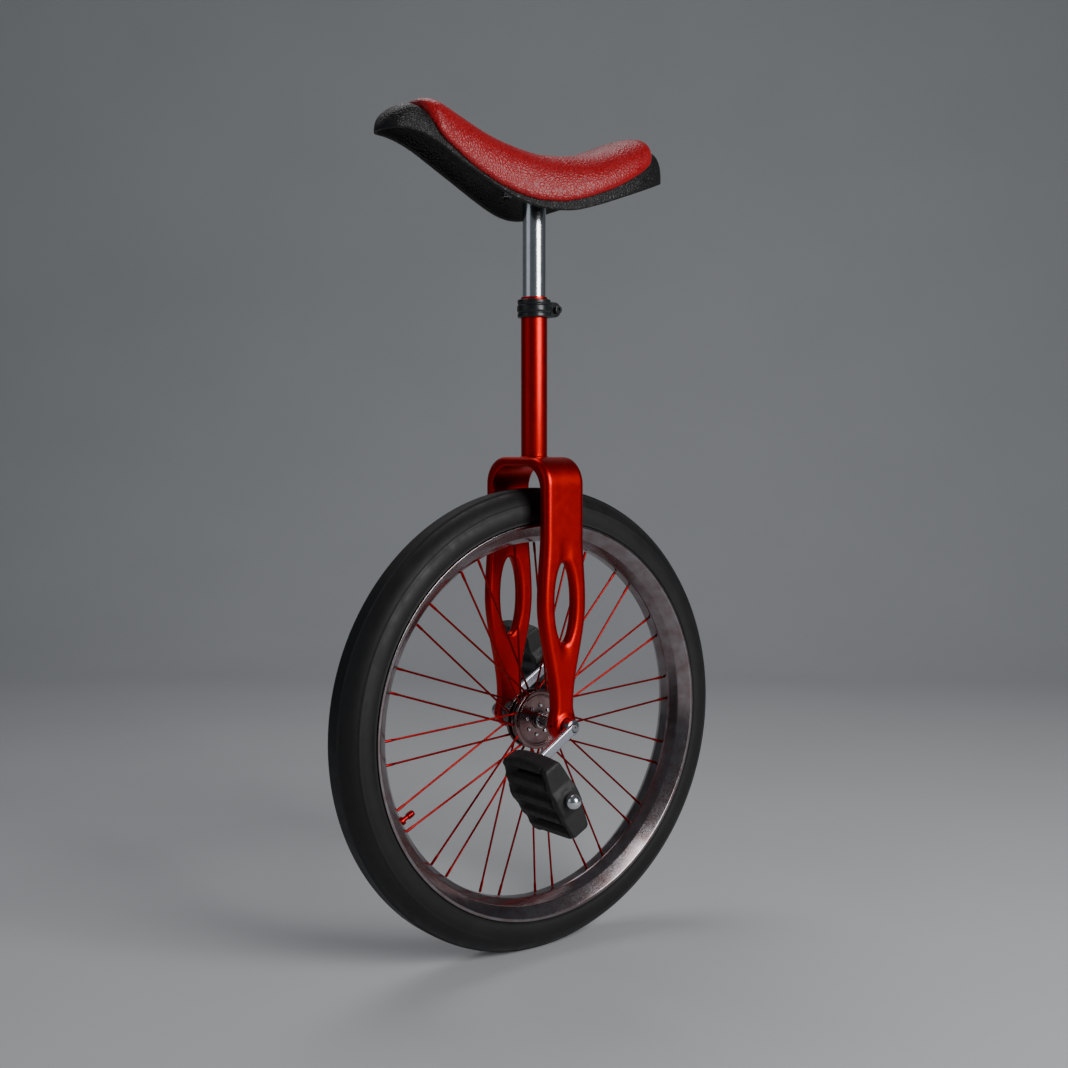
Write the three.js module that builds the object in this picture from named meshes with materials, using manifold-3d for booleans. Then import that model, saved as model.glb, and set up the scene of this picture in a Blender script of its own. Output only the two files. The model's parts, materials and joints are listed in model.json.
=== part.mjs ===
// A 20-inch unicycle: a fork-like frame over one spoked wheel with direct-drive cranks,
// and a curved saddle on a sliding post.
// Millimetres. +X is forward, +Y is the rider's left and +Z is up.
// The origin is the point where the tyre meets the ground, under the axle.
import * as THREE from "three";
import { mergeVertices } from "three/addons/utils/BufferGeometryUtils.js";
import Module from "manifold-3d";

const wasm = await Module();
wasm.setup();

// ---------------------------------------------------------------- driving dimensions
const GAP = 0.3; // between pieces that touch
const WHEEL_FACETS_FROM = 100; // larger radii are measured to the middle of a facet

const TYRE_R = 255; // tread
const TYRE_SECTION_R = 26.7; // round section of the tyre
const TYRE_WALL = 4;
const TREAD_FLAT = 7; // half the flat stretch that meets the ground
const WHEEL_SEGMENTS = 48;

const RIM_INNER_R = 196.5; // where the spokes end
const RIM_EDGE_R = 218;
const RIM_HALF_WIDTH = 26.6;
const VALVE_ANGLE = -26.5;
const VALVE_HOLE_R = 3.6;
const VALVE_TIP = 178; // distance from the axle, as is the base
const VALVE_BASE = 206.5;

const SPOKE_PAIRS = 16;
const SPOKE_R = 1.15;
const NIPPLE_R = 2.1;
const NIPPLE_LENGTH = 12;
const SPOKE_STEP = 1.6; // spokes that cross leave opposite faces of one flange
const PAIR_PHASE = -4; // degrees from +X to the first pair
const PAIR_SPREAD_RIM = 3.75; // half the angle between a pair's two rim ends
const PAIR_SPREAD_HUB = 22.5; // the same at the hub

const FLANGE_R = 33;
const FLANGE_Y = 7; // middle of each flange
const FLANGE_HALF_THICKNESS = 1.5;
const HUB_WAIST_R = 27;
const HUB_BOSS_R = 9.5;
const HUB_HALF_WIDTH = 10;

const AXLE_R = 6;
const AXLE_SLEEVE_R = 7.5;
const AXLE_SLEEVE_HALF_LENGTH = 40;
const AXLE_HALF_LENGTH = 66;
const AXLE_TAP_Y = 48; // bottom of the tapped hole in each end
const CRANK_BOLT_R = 2.5;
const BEARING_R = 12; // 24 x 12 x 6 sealed ball bearing
const BEARING_HALF_WIDTH = 3;

const LEG_Y = 49; // middle of each leg
const LEG_THICKNESS = 13.5;
const CROWN_TOP = 288.6; // above the axle, as are the heights below
const CROWN_THICKNESS = 10;
const CROWN_CORNER_R = 30;
const CROWN_WIDTH = 51; // along X, as are the widths below
const LEG_WAIST_Z = 205; // the leg keeps the crown's width down to here
const SLOT_Z = 133; // middle of the oval slot, where the leg is widest
const LEG_WIDTH_AT_SLOT = 60;
const SLOT_LENGTH = 86;
const SLOT_WIDTH = 26;
const SHANK_TOP = 62;
const SHANK_WIDTH = 27;
const FOOT_R = 16;
const FOOT_HOLE_R = 8;

const SEAT_TUBE_R = 14.3;
const SEAT_TUBE_TOP = 461.5;
const POST_R = 12.7;
const POST_WALL = 2.2;
const POST_BOTTOM = 371;
const POST_TOP = 574;

const COLLAR_BOTTOM = 439.4;
const COLLAR_TOP = 458.8;
const COLLAR_R = 18.6;
const COLLAR_EAR = 14; // how far the ears reach behind the ring
const COLLAR_BOLT_R = 2.5;

const CRANK_LENGTH = 91;
const CRANK_ANGLE = -32.5; // the left crank, from +X; the right one is opposite
const CRANK_WIDTH = 11;
const CRANK_EYE_R = 6.9; // round the pedal spindle
const CRANK_INNER_Y = 63;
const CRANK_OUTER_Y = 71.5;
const CRANK_BOSS_R = 8.5;
const CRANK_BOSS_Y = 58.5;
const CRANK_BOLT_HEAD_R = 4;

const PEDAL_INNER_Y = 76;
const PEDAL_OUTER_Y = 155;
const PEDAL_TILT = 62; // the pedals' front edge is up
const PEDAL_HALF_LENGTH = 39; // of the end plates
const PEDAL_BAR_OUT = 40.5; // middle of the front and rear tread bars
const PEDAL_BAR_IN = 18;
const PEDAL_BAR_WIDTH = 9;
const PEDAL_REAR_REACH = 6; // how much wider the rear bar is
const PEDAL_END_HALF = 8; // half the thickness at the front and rear edges
const PEDAL_MIDDLE_HALF = 13.5;
const PEDAL_PLATE = 9;
const PEDAL_BARREL_R = 11;
const SPINDLE_R = 5;
const SPINDLE_THREAD_R = 4;
const SPINDLE_SHOULDER_R = 7;
const SPINDLE_INNER_Y = 61.8;
const SPINDLE_OUTER_Y = 150;
const PEDAL_BALL_R = 7.8;
const PEDAL_BALL_Y = 161;

// The saddle's outlines over X, each a smooth curve through a few points.
const SADDLE_FRONT = 197;
const SADDLE_REAR = -158;
const PAD_FRONT = 161;
const PAD_REAR = -137;
const SHELL_WALL = 4;
const PAD_OVERHANG = 6;
const STUD_R = 3;
const PLATE_THICKNESS = 4;
const halfWidth = smooth([[-158, 28], [-144, 44], [-100, 58], [-50, 58], [-10, 50], [45, 34],
  [100, 28], [160, 27], [185, 23], [197, 11]]);
const skirtBottom = smooth([[-158, 597], [-120, 584], [-71, 567], [-44, 557.8], [-14, 550],
  [19, 550.5], [52, 560], [106, 585.8], [141, 604], [160, 611], [176, 614], [197, 613.5]]);
const shellTop = smooth([[-158, 624], [-143, 635], [-105, 620], [-50, 595], [0, 584], [60, 597],
  [125, 628], [163, 644.5], [180, 640], [197, 624]]);
const padTop = smooth([[-137, 634], [-120, 643.5], [-90, 633], [-45, 617], [5, 612], [40, 617.5],
  [75, 627], [110, 641.5], [135, 652], [150, 653], [161, 648]]);
const padBottom = smooth([[-137, 627], [-112, 603], [-90, 588.5], [-55, 571.5], [-10, 557.5],
  [28, 557], [50, 562.5], [74, 571.5], [98, 583.5], [121, 597.5], [143, 613.5], [161, 637]]);

// ---------------------------------------------------------------- materials
const finish = (color, roughness, metalness) =>
  new THREE.MeshStandardMaterial({ color, roughness, metalness });
const FRAME_RED = finish(0xb01208, 0.25, 0.8);
const SPOKE_RED = finish(0xa0150f, 0.35, 0.7);
const CHROME = finish(0xd8dadc, 0.12, 1);
const POLISHED_ALLOY = finish(0xc4c7ca, 0.2, 1);
const STEEL = finish(0x8c9094, 0.35, 1);
const TYRE_RUBBER = finish(0x2a2a28, 0.75, 0);
const TUBE_RUBBER = finish(0x161616, 0.85, 0);
const BLACK_ALLOY = finish(0x1b1c1e, 0.45, 0.5);
const PEDAL_BLACK = finish(0x20201f, 0.7, 0);
const SHELL_BLACK = finish(0x1d1d1b, 0.65, 0);
const PAD_RED = finish(0xa51a20, 0.4, 0);

// ---------------------------------------------------------------- geometry helpers
const radians = THREE.MathUtils.degToRad;
const LEFT = 1;
const RIGHT = -1;

// A smooth curve through points sorted by x, as a function of x.
function smooth(points) {
  const slope = points.map((p, i) => {
    const before = points[Math.max(i - 1, 0)];
    const after = points[Math.min(i + 1, points.length - 1)];
    return (after[1] - before[1]) / (after[0] - before[0]);
  });
  return (x) => {
    const last = points.length - 2;
    const i = Math.min(last, Math.max(0, points.findIndex((p) => p[0] > x) - 1));
    const k = x >= points[last + 1][0] ? last : i;
    const [x0, y0] = points[k];
    const [x1, y1] = points[k + 1];
    const w = x1 - x0;
    const t = Math.min(1, Math.max(0, (x - x0) / w));
    return (
      y0 * (1 + 2 * t) * (1 - t) ** 2 +
      slope[k] * w * t * (1 - t) ** 2 +
      y1 * t * t * (3 - 2 * t) +
      slope[k + 1] * w * t * t * (t - 1)
    );
  };
}

// A closed three.js geometry as a manifold-3d solid, turned face out if need be.
function solid(geometry) {
  const plain = geometry.clone();
  plain.deleteAttribute("normal");
  plain.deleteAttribute("uv");
  const merged = mergeVertices(plain, 1e-4);
  const make = (triVerts) =>
    new wasm.Manifold(
      new wasm.Mesh({ numProp: 3, vertProperties: merged.attributes.position.array, triVerts }),
    );
  const vertices = merged.index.array;
  const kept = [];
  for (let i = 0; i < vertices.length; i += 3) {
    const [a, b, c] = vertices.slice(i, i + 3);
    if (a !== b && b !== c && c !== a) kept.push(a, b, c);
  }
  const triVerts = new Uint32Array(kept);
  const made = make(triVerts);
  if (made.volume() > 0) return made;
  for (let i = 0; i < triVerts.length; i += 3) {
    [triVerts[i + 1], triVerts[i + 2]] = [triVerts[i + 2], triVerts[i + 1]];
  }
  return make(triVerts);
}

const join = (...solids) => solids.reduce((a, b) => a.add(b));
const cut = (body, ...tools) => tools.reduce((a, b) => a.subtract(b), body);

// A profile of [radius, height] points turned about the Y axis. A facet, not an edge, faces each axis.
function turned(profile, segments) {
  const half = Math.PI / segments;
  const grown = (r) => (r > WHEEL_FACETS_FROM ? r / Math.cos(half) : r);
  const points = profile.map(([r, y]) => new THREE.Vector2(grown(r), y));
  const closed = profile[0][0] > 0;
  if (closed) points.push(points[0].clone());
  return new THREE.LatheGeometry(points, segments, half, 2 * Math.PI);
}

// A solid rod along Y from y0 to y1.
const rod = (r, y0, y1, segments = 20) => turned([[0, y0], [r, y0], [r, y1], [0, y1]], segments);

// Turns a geometry whose axis is Y so that its axis is Z.
const upright = (geometry) => geometry.rotateX(Math.PI / 2);

// A shape drawn in X and Z, with its thickness from y0 to y1.
function slab(shape, y0, y1, curveSegments = 12) {
  const options = { depth: y1 - y0, bevelEnabled: false, curveSegments };
  return new THREE.ExtrudeGeometry(shape, options).rotateX(Math.PI / 2).translate(0, y1, 0);
}

function shapeOf(points) {
  return new THREE.Shape(points.map(([x, z]) => new THREE.Vector2(x, z)));
}

// A closed skin over equal rings of points, with a fan over each end.
function loft(rings) {
  const count = rings[0].length;
  const positions = rings.flat().flatMap((p) => [p.x, p.y, p.z]);
  const index = [];
  for (let i = 0; i + 1 < rings.length; i++) {
    for (let j = 0; j < count; j++) {
      const a = i * count + j;
      const b = i * count + ((j + 1) % count);
      index.push(a, b, b + count, a, b + count, a + count);
    }
  }
  for (const [ring, flip] of [[0, true], [rings.length - 1, false]]) {
    const middle = rings[ring]
      .reduce((sum, p) => sum.add(p), new THREE.Vector3())
      .divideScalar(count);
    const hub = positions.length / 3;
    positions.push(middle.x, middle.y, middle.z);
    for (let j = 0; j < count; j++) {
      const a = ring * count + j;
      const b = ring * count + ((j + 1) % count);
      index.push(...(flip ? [hub, b, a] : [hub, a, b]));
    }
  }
  const geometry = new THREE.BufferGeometry();
  geometry.setAttribute("position", new THREE.Float32BufferAttribute(positions, 3));
  geometry.setIndex(index);
  return geometry;
}

const unicycle = new THREE.Group();
const axleGroup = new THREE.Group(); // everything below is measured from the axle's middle
axleGroup.position.z = TYRE_R;
unicycle.add(axleGroup);

function piece(name, body, material) {
  const geometry = new THREE.BufferGeometry();
  const mesh = (body.isBufferGeometry ? solid(body) : body).getMesh();
  geometry.setAttribute("position", new THREE.BufferAttribute(mesh.vertProperties, 3));
  geometry.setIndex(new THREE.BufferAttribute(mesh.triVerts, 1));
  geometry.computeVertexNormals();
  const made = new THREE.Mesh(geometry, material);
  made.name = name;
  axleGroup.add(made);
  return made;
}

// ---------------------------------------------------------------- wheel
const TYRE_CENTRE_R = TYRE_R - TYRE_SECTION_R;

// A point of a round section at an angle from the +Y side, as [radius, y].
const onSection = (r, degrees) => [
  TYRE_CENTRE_R + r * Math.sin(radians(degrees)),
  r * Math.cos(radians(degrees)),
];

const mirrored = (half) => [...half, ...half.map(([r, y]) => [r, -y]).reverse()];

function tyre() {
  const wallR = TYRE_SECTION_R - TYRE_WALL;
  const outside = [[218.2, 24.2], ...[-21, 8, 40].map((a) => onSection(TYRE_SECTION_R, a))];
  const inside = [-30, 14, 62].map((a) => onSection(wallR, a));
  const outer = mirrored([...outside, [TYRE_R, TREAD_FLAT]]);
  const inner = mirrored([[214.9, 23.4], [214.9, 19.5], ...inside]).reverse();
  return turned([...outer, ...inner], WHEEL_SEGMENTS);
}

function innerTube() {
  const tubeR = TYRE_SECTION_R - TYRE_WALL - 3.5;
  const angles = Array.from({ length: 8 }, (_, i) => 45 * i);
  return turned(angles.map((a) => onSection(tubeR, a)), WHEEL_SEGMENTS);
}

// The rim's section is a shallow V on the hub side and a well with two lips on the tyre side.
function rim() {
  const hubSide = [[RIM_EDGE_R, RIM_HALF_WIDTH], [215, RIM_HALF_WIDTH], [203.5, 16.5], [RIM_INNER_R, 6]];
  const tyreSide = [[RIM_EDGE_R, 24.8], [214.3, 24], [205, 13], [201, 4]];
  const ring = turned([...mirrored(hubSide), ...mirrored(tyreSide).reverse()], WHEEL_SEGMENTS);
  const hole = rod(VALVE_HOLE_R, RIM_INNER_R - 6, RIM_INNER_R + 14, 10);
  return cut(solid(ring), solid(radial(hole, VALVE_ANGLE)));
}

// Turns a geometry whose axis is Y so that it points out along a wheel radius.
function radial(geometry, degrees) {
  return geometry.rotateZ(-Math.PI / 2).rotateY(-radians(degrees));
}

// A capped valve stem with a round nut under the rim.
function valve() {
  const cap = VALVE_TIP + 8;
  const nutTop = RIM_INNER_R - 0.7;
  const profile = [[0, VALVE_TIP], [2.6, VALVE_TIP], [3.4, VALVE_TIP + 1], [3.4, cap], [2.6, cap + 1],
    [2.6, nutTop - 4.3], [4.8, nutTop - 3.3], [4.8, nutTop], [3, nutTop], [3, VALVE_BASE], [0, VALVE_BASE]];
  return radial(turned(profile, 10), VALVE_ANGLE);
}

// One spoke with its nipple, from a flange's edge to the rim.
function spoke(hubEnd, rimEnd) {
  const length = hubEnd.distanceTo(rimEnd);
  const neck = length - NIPPLE_LENGTH;
  const profile = [[0, 0], [SPOKE_R, 0], [SPOKE_R, neck], [NIPPLE_R, neck + 1], [NIPPLE_R, length],
    [0, length]];
  const along = rimEnd.clone().sub(hubEnd).normalize();
  const turn = new THREE.Quaternion().setFromUnitVectors(new THREE.Vector3(0, 1, 0), along);
  return new THREE.LatheGeometry(profile.map(([r, y]) => new THREE.Vector2(r, y)), 6)
    .applyQuaternion(turn)
    .translate(hubEnd.x, hubEnd.y, hubEnd.z);
}

function atAngle(r, degrees, y) {
  return new THREE.Vector3(r * Math.cos(radians(degrees)), y, r * Math.sin(radians(degrees)));
}

// The spokes of a pair run side by side from the two flanges to one place on the rim.
function addSpokes() {
  for (let k = 0; k < SPOKE_PAIRS; k++) {
    const middle = PAIR_PHASE + (k * 360) / SPOKE_PAIRS;
    for (const side of [1, -1]) {
      const flange = k % 2 ? -side : side;
      const hubY = flange * (FLANGE_Y + side * SPOKE_STEP);
      const hubEnd = atAngle(FLANGE_R + 0.8, middle + side * PAIR_SPREAD_HUB, hubY);
      const rimEnd = atAngle(RIM_INNER_R - 0.9, middle + side * PAIR_SPREAD_RIM, flange * 0.6);
      const name = `spoke_${String(2 * k + (side > 0 ? 1 : 2)).padStart(2, "0")}`;
      piece(name, spoke(hubEnd, rimEnd), SPOKE_RED);
    }
  }
}

// The hub shell: two flanges with a recessed face outside each, and a bore for the axle.
function hubShell() {
  const inner = FLANGE_Y - FLANGE_HALF_THICKNESS;
  const outer = FLANGE_Y + FLANGE_HALF_THICKNESS;
  const half = [[HUB_WAIST_R, inner], [FLANGE_R, inner], [FLANGE_R, outer], [FLANGE_R - 5, outer],
    [FLANGE_R - 6, outer - 1], [HUB_BOSS_R, outer - 1], [HUB_BOSS_R, HUB_HALF_WIDTH],
    [AXLE_SLEEVE_R + GAP, HUB_HALF_WIDTH]];
  return turned([...half.map(([r, y]) => [r, -y]).reverse(), ...half], 24);
}

// The axle: a sleeve between the bearings and a journal through each, tapped for the crank bolts.
function axle() {
  const half = [[AXLE_SLEEVE_R, AXLE_SLEEVE_HALF_LENGTH], [AXLE_R, AXLE_SLEEVE_HALF_LENGTH],
    [AXLE_R, AXLE_HALF_LENGTH], [0, AXLE_HALF_LENGTH]];
  const bar = turned([...half.map(([r, y]) => [r, -y]).reverse(), ...half], 20);
  const holes = [LEFT, RIGHT].map((s) => {
    const ends = [s * AXLE_TAP_Y, s * (AXLE_HALF_LENGTH + 1)].sort((a, b) => a - b);
    return solid(rod(CRANK_BOLT_R + GAP, ...ends, 10));
  });
  return cut(solid(bar), ...holes);
}

// ---------------------------------------------------------------- frame
// The legs and crown seen from the side: crown width, wide slotted part, slim shank and round foot.
function legOutline() {
  const shape = new THREE.Shape();
  const crown = CROWN_WIDTH / 2;
  const wide = LEG_WIDTH_AT_SLOT / 2;
  const shank = SHANK_WIDTH / 2;
  const blend = 28;
  shape.moveTo(crown, CROWN_TOP + 1);
  shape.lineTo(crown, LEG_WAIST_Z);
  shape.bezierCurveTo(crown, LEG_WAIST_Z - blend, wide, SLOT_Z + blend, wide, SLOT_Z);
  shape.bezierCurveTo(wide, SLOT_Z - blend, shank, SHANK_TOP + blend, shank, SHANK_TOP - 10);
  shape.lineTo(shank, FOOT_R + 6);
  shape.lineTo(FOOT_R, 0);
  shape.absarc(0, 0, FOOT_R, 0, -Math.PI, true);
  shape.lineTo(-shank, FOOT_R + 6);
  shape.lineTo(-shank, SHANK_TOP - 10);
  shape.bezierCurveTo(-shank, SHANK_TOP + blend, -wide, SLOT_Z - blend, -wide, SLOT_Z);
  shape.bezierCurveTo(-wide, SLOT_Z + blend, -crown, LEG_WAIST_Z - blend, -crown, LEG_WAIST_Z);
  shape.lineTo(-crown, CROWN_TOP + 1);
  const slot = new THREE.Path();
  slot.absellipse(0, SLOT_Z, SLOT_WIDTH / 2, SLOT_LENGTH / 2, 0, 2 * Math.PI, false);
  shape.holes.push(slot);
  return shape;
}

// The legs and crown seen from the front: an arch with round shoulders, drawn in Y and Z.
function archOutline() {
  const outer = LEG_Y + LEG_THICKNESS / 2;
  const inner = LEG_Y - LEG_THICKNESS / 2;
  const r = CROWN_CORNER_R;
  const innerR = r - 4;
  const under = CROWN_TOP - CROWN_THICKNESS;
  const bottom = -FOOT_R - 1;
  const shape = new THREE.Shape();
  shape.moveTo(outer, bottom);
  shape.lineTo(outer, CROWN_TOP - r);
  shape.absarc(outer - r, CROWN_TOP - r, r, 0, Math.PI / 2, false);
  shape.absarc(r - outer, CROWN_TOP - r, r, Math.PI / 2, Math.PI, false);
  shape.lineTo(-outer, bottom);
  shape.lineTo(-inner, bottom);
  shape.lineTo(-inner, under - innerR);
  shape.absarc(innerR - inner, under - innerR, innerR, Math.PI, Math.PI / 2, true);
  shape.absarc(inner - innerR, under - innerR, innerR, Math.PI / 2, 0, true);
  shape.lineTo(inner, bottom);
  return shape;
}

function frame() {
  const beyond = 2 * LEG_Y;
  const arch = solid(slab(archOutline(), -beyond, beyond, 7).rotateZ(-Math.PI / 2));
  const outline = solid(slab(legOutline(), -beyond, beyond, 9));
  const tube = solid(upright(turned([[0, CROWN_TOP - 4], [SEAT_TUBE_R, CROWN_TOP - 4],
    [SEAT_TUBE_R, SEAT_TUBE_TOP], [0, SEAT_TUBE_TOP]], 24)));
  const bore = solid(upright(rod(POST_R + GAP, CROWN_TOP - 2, SEAT_TUBE_TOP + 1, 24)));
  const pockets = [LEFT, RIGHT].map((s) => {
    const edge = s * (LEG_Y + BEARING_HALF_WIDTH + GAP);
    const ends = [s * (LEG_Y - LEG_THICKNESS), edge].sort((a, b) => a - b);
    return solid(rod(BEARING_R + GAP, ...ends, 24));
  });
  const hole = solid(rod(FOOT_HOLE_R, -beyond, beyond, 20));
  return cut(join(arch.intersect(outline), tube), bore, hole, ...pockets);
}

// A sealed ball bearing, as one ring.
function bearing(side) {
  const y = side * LEG_Y;
  const profile = [[AXLE_R + GAP, y - BEARING_HALF_WIDTH], [BEARING_R, y - BEARING_HALF_WIDTH],
    [BEARING_R, y + BEARING_HALF_WIDTH], [AXLE_R + GAP, y + BEARING_HALF_WIDTH]];
  return turned(profile, 24);
}

// A split ring with two ears behind the seat tube, drawn in X and Y.
function collar() {
  const slit = 1.2;
  const earHalf = 6.5;
  const turnIn = Math.asin(earHalf / COLLAR_R);
  const shape = new THREE.Shape();
  shape.moveTo(-COLLAR_R - COLLAR_EAR, slit);
  shape.lineTo(-COLLAR_R - COLLAR_EAR, earHalf);
  shape.lineTo(-COLLAR_R * Math.cos(turnIn), earHalf);
  shape.absarc(0, 0, COLLAR_R, Math.PI - turnIn, turnIn - Math.PI, true);
  shape.lineTo(-COLLAR_R - COLLAR_EAR, -earHalf);
  shape.lineTo(-COLLAR_R - COLLAR_EAR, -slit);
  const boreR = SEAT_TUBE_R + GAP;
  const slitTurn = Math.asin(slit / boreR);
  shape.lineTo(-boreR * Math.cos(slitTurn), -slit);
  shape.absarc(0, 0, boreR, slitTurn - Math.PI, Math.PI - slitTurn, false);
  const ring = new THREE.ExtrudeGeometry(shape, {
    depth: COLLAR_TOP - COLLAR_BOTTOM, bevelEnabled: false, curveSegments: 16,
  }).translate(0, 0, COLLAR_BOTTOM);
  return cut(solid(ring), solid(rod(COLLAR_BOLT_R + GAP, -20, 20, 10).translate(...collarBoltPlace)));
}

const collarBoltPlace = [-COLLAR_R - COLLAR_EAR / 2, 0, (COLLAR_BOTTOM + COLLAR_TOP) / 2];

// A socket-head bolt through the collar's ears, head on the left.
function collarBolt() {
  const socket = 1.6;
  const profile = [[0, -6.5], [COLLAR_BOLT_R, -6.5], [COLLAR_BOLT_R, 6.8], [4.4, 6.8], [4.4, 11.3],
    [socket, 11.3], [socket, 9], [0, 9]];
  return turned(profile, 12).translate(...collarBoltPlace);
}

// ---------------------------------------------------------------- seatpost and saddle
const PLATE_X = 26; // the saddle's studs stand at the corners of this rectangle
const PLATE_Y = 15;
const corners = [[1, 1], [1, -1], [-1, 1], [-1, -1]].map(([x, y]) => [x * PLATE_X, y * PLATE_Y]);

function seatpost() {
  const post = solid(upright(rod(POST_R, POST_BOTTOM, POST_TOP, 24)));
  const hollow = solid(upright(rod(POST_R - POST_WALL, POST_BOTTOM - 1, POST_TOP - 3, 24)));
  const plate = new THREE.BoxGeometry(2 * PLATE_X + 16, 2 * PLATE_Y + 14, PLATE_THICKNESS)
    .translate(0, 0, POST_TOP + PLATE_THICKNESS / 2 - 1);
  const holes = corners.map(([x, y]) =>
    solid(upright(rod(STUD_R + GAP, POST_TOP - 5, POST_TOP + 8, 10)).translate(x, y, 0)));
  return cut(join(post, solid(plate)), hollow, ...holes);
}

function nut([x, y]) {
  const top = POST_TOP - 1 - GAP;
  const boreR = STUD_R + 0.8; // at the six corners
  const profile = [[boreR, top - 5], [6, top - 5], [6, top], [boreR, top]];
  return upright(turned(profile, 6)).translate(x, y, 0);
}

// A ring of points round the saddle at x: a flat bottom and an arch over it.
function archRing(x, halfW, bottom, top) {
  const steps = 12;
  return Array.from({ length: steps + 1 }, (_, i) => {
    const a = (Math.PI * i) / steps;
    const across = Math.sign(Math.cos(a)) * Math.abs(Math.cos(a)) ** 0.75;
    return new THREE.Vector3(x, halfW * across, bottom + (top - bottom) * Math.sin(a) ** 0.7);
  });
}

// Stations along X that crowd towards the two rounded ends.
function stations(rear, front, count) {
  return Array.from({ length: count }, (_, i) => {
    const t = -Math.cos((Math.PI * i) / (count - 1));
    return (front + rear) / 2 + ((front - rear) / 2) * t;
  });
}

// The shell's outside, grown by an allowance all round and let down below its edge.
function shellSkin(grow, below) {
  const middle = (SADDLE_FRONT + SADDLE_REAR) / 2;
  const half = SADDLE_FRONT - middle;
  const rings = stations(SADDLE_REAR, SADDLE_FRONT, 18).map((x) => {
    const ring = archRing(x, halfWidth(x) + grow, skirtBottom(x), shellTop(x));
    ring.forEach((p, i) => {
      p.x += (grow * (x - middle)) / half;
      p.z += i === 0 || i === ring.length - 1 ? -below : grow;
    });
    return ring;
  });
  return solid(loft(rings));
}

// The moulded shell: a trough, open underneath, with four studs moulded in.
function saddleShell() {
  const hollow = stations(SADDLE_REAR + SHELL_WALL, SADDLE_FRONT - SHELL_WALL, 15).map((x) =>
    archRing(x, halfWidth(x) - SHELL_WALL, skirtBottom(x) - 6, shellTop(x) - SHELL_WALL));
  const boss = POST_TOP + PLATE_THICKNESS - 1 + GAP;
  const studs = corners.map(([x, y]) => {
    const top = shellTop(x) - SHELL_WALL + 0.5;
    const profile = [[0, boss - 13], [STUD_R, boss - 13], [STUD_R, boss], [6, boss], [6, top], [0, top]];
    return solid(upright(turned(profile, 12)).translate(x, y, 0));
  });
  return join(cut(shellSkin(0, 0), solid(loft(hollow))), ...studs);
}

// The pad: a crowned cushion that wraps the shell's top and sides.
function saddlePad() {
  const rings = stations(PAD_REAR, PAD_FRONT, 17).map((x) => {
    const end = Math.min(x - PAD_REAR, PAD_FRONT - x);
    const round = Math.sqrt(Math.min(1, Math.max(0.12, end / 24)));
    return archRing(x, (halfWidth(x) + PAD_OVERHANG) * round, padBottom(x), padTop(x));
  });
  return cut(solid(loft(rings)), shellSkin(2 * GAP, 4));
}

// ---------------------------------------------------------------- cranks and pedals
const crankEnd = (side) => [
  side * CRANK_LENGTH * Math.cos(radians(CRANK_ANGLE)),
  side * CRANK_LENGTH * Math.sin(radians(CRANK_ANGLE)),
];

// A rod along Y given for the left side, and its mirror image for the right.
const sided = (side, r, y0, y1, segments) =>
  solid(rod(r, ...[side * y0, side * y1].sort((a, b) => a - b), segments));

// A slim bar with round ends, a boss over the axle's end and a hole for the pedal spindle.
function crank(side) {
  const r = CRANK_WIDTH / 2;
  const shape = new THREE.Shape();
  shape.absarc(0, 0, r, Math.PI / 2, (3 * Math.PI) / 2, false);
  shape.lineTo(CRANK_LENGTH, -r);
  shape.absarc(CRANK_LENGTH, 0, CRANK_EYE_R, -Math.PI / 2, Math.PI / 2, false);
  const ends = [side * CRANK_INNER_Y, side * CRANK_OUTER_Y].sort((a, b) => a - b);
  const turn = -radians(CRANK_ANGLE) + (side > 0 ? 0 : Math.PI);
  const bar = solid(slab(shape, ...ends, 8).rotateY(turn));
  const [x, z] = crankEnd(side);
  const boss = sided(side, CRANK_BOSS_R, CRANK_BOSS_Y, CRANK_OUTER_Y - 3.5, 20);
  return cut(
    join(bar, boss),
    sided(side, AXLE_R + GAP, CRANK_BOSS_Y - 1, AXLE_HALF_LENGTH + GAP, 20),
    sided(side, CRANK_BOLT_R + GAP, CRANK_BOSS_Y, CRANK_OUTER_Y + 1, 10),
    sided(side, CRANK_BOLT_HEAD_R + GAP, CRANK_OUTER_Y - 3, CRANK_OUTER_Y + 1, 12),
    sided(side, SPINDLE_THREAD_R + GAP, CRANK_BOSS_Y, CRANK_OUTER_Y + 1, 12).translate([x, 0, z]),
  );
}

// A flat-headed screw, flush with the crank, into the axle's end.
function crankBolt(side) {
  const tip = AXLE_TAP_Y + 2;
  const top = CRANK_OUTER_Y - 0.2;
  const under = top - 2.5;
  const profile = [[0, tip], [CRANK_BOLT_R, tip], [CRANK_BOLT_R, under], [CRANK_BOLT_HEAD_R, under],
    [CRANK_BOLT_HEAD_R, top], [0, top]];
  return turned(profile.map(([r, y]) => [r, side * y]), 12);
}

// Pieces on a pedal's own axis are drawn on the wheel's axis, then moved out to the crank's end.
function onPedalAxis(side, body) {
  const [x, z] = crankEnd(side);
  return body.translate([x, 0, z]);
}

function pedalSpindle(side) {
  const shoulder = CRANK_OUTER_Y + 0.5;
  const profile = [[0, SPINDLE_INNER_Y], [SPINDLE_THREAD_R, SPINDLE_INNER_Y], [SPINDLE_THREAD_R, shoulder],
    [SPINDLE_SHOULDER_R, shoulder], [SPINDLE_SHOULDER_R, shoulder + 3], [SPINDLE_R, shoulder + 3.5],
    [SPINDLE_R, SPINDLE_OUTER_Y], [0, SPINDLE_OUTER_Y]];
  return onPedalAxis(side, solid(turned(profile.map(([r, y]) => [r, side * y]), 16)));
}

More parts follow.
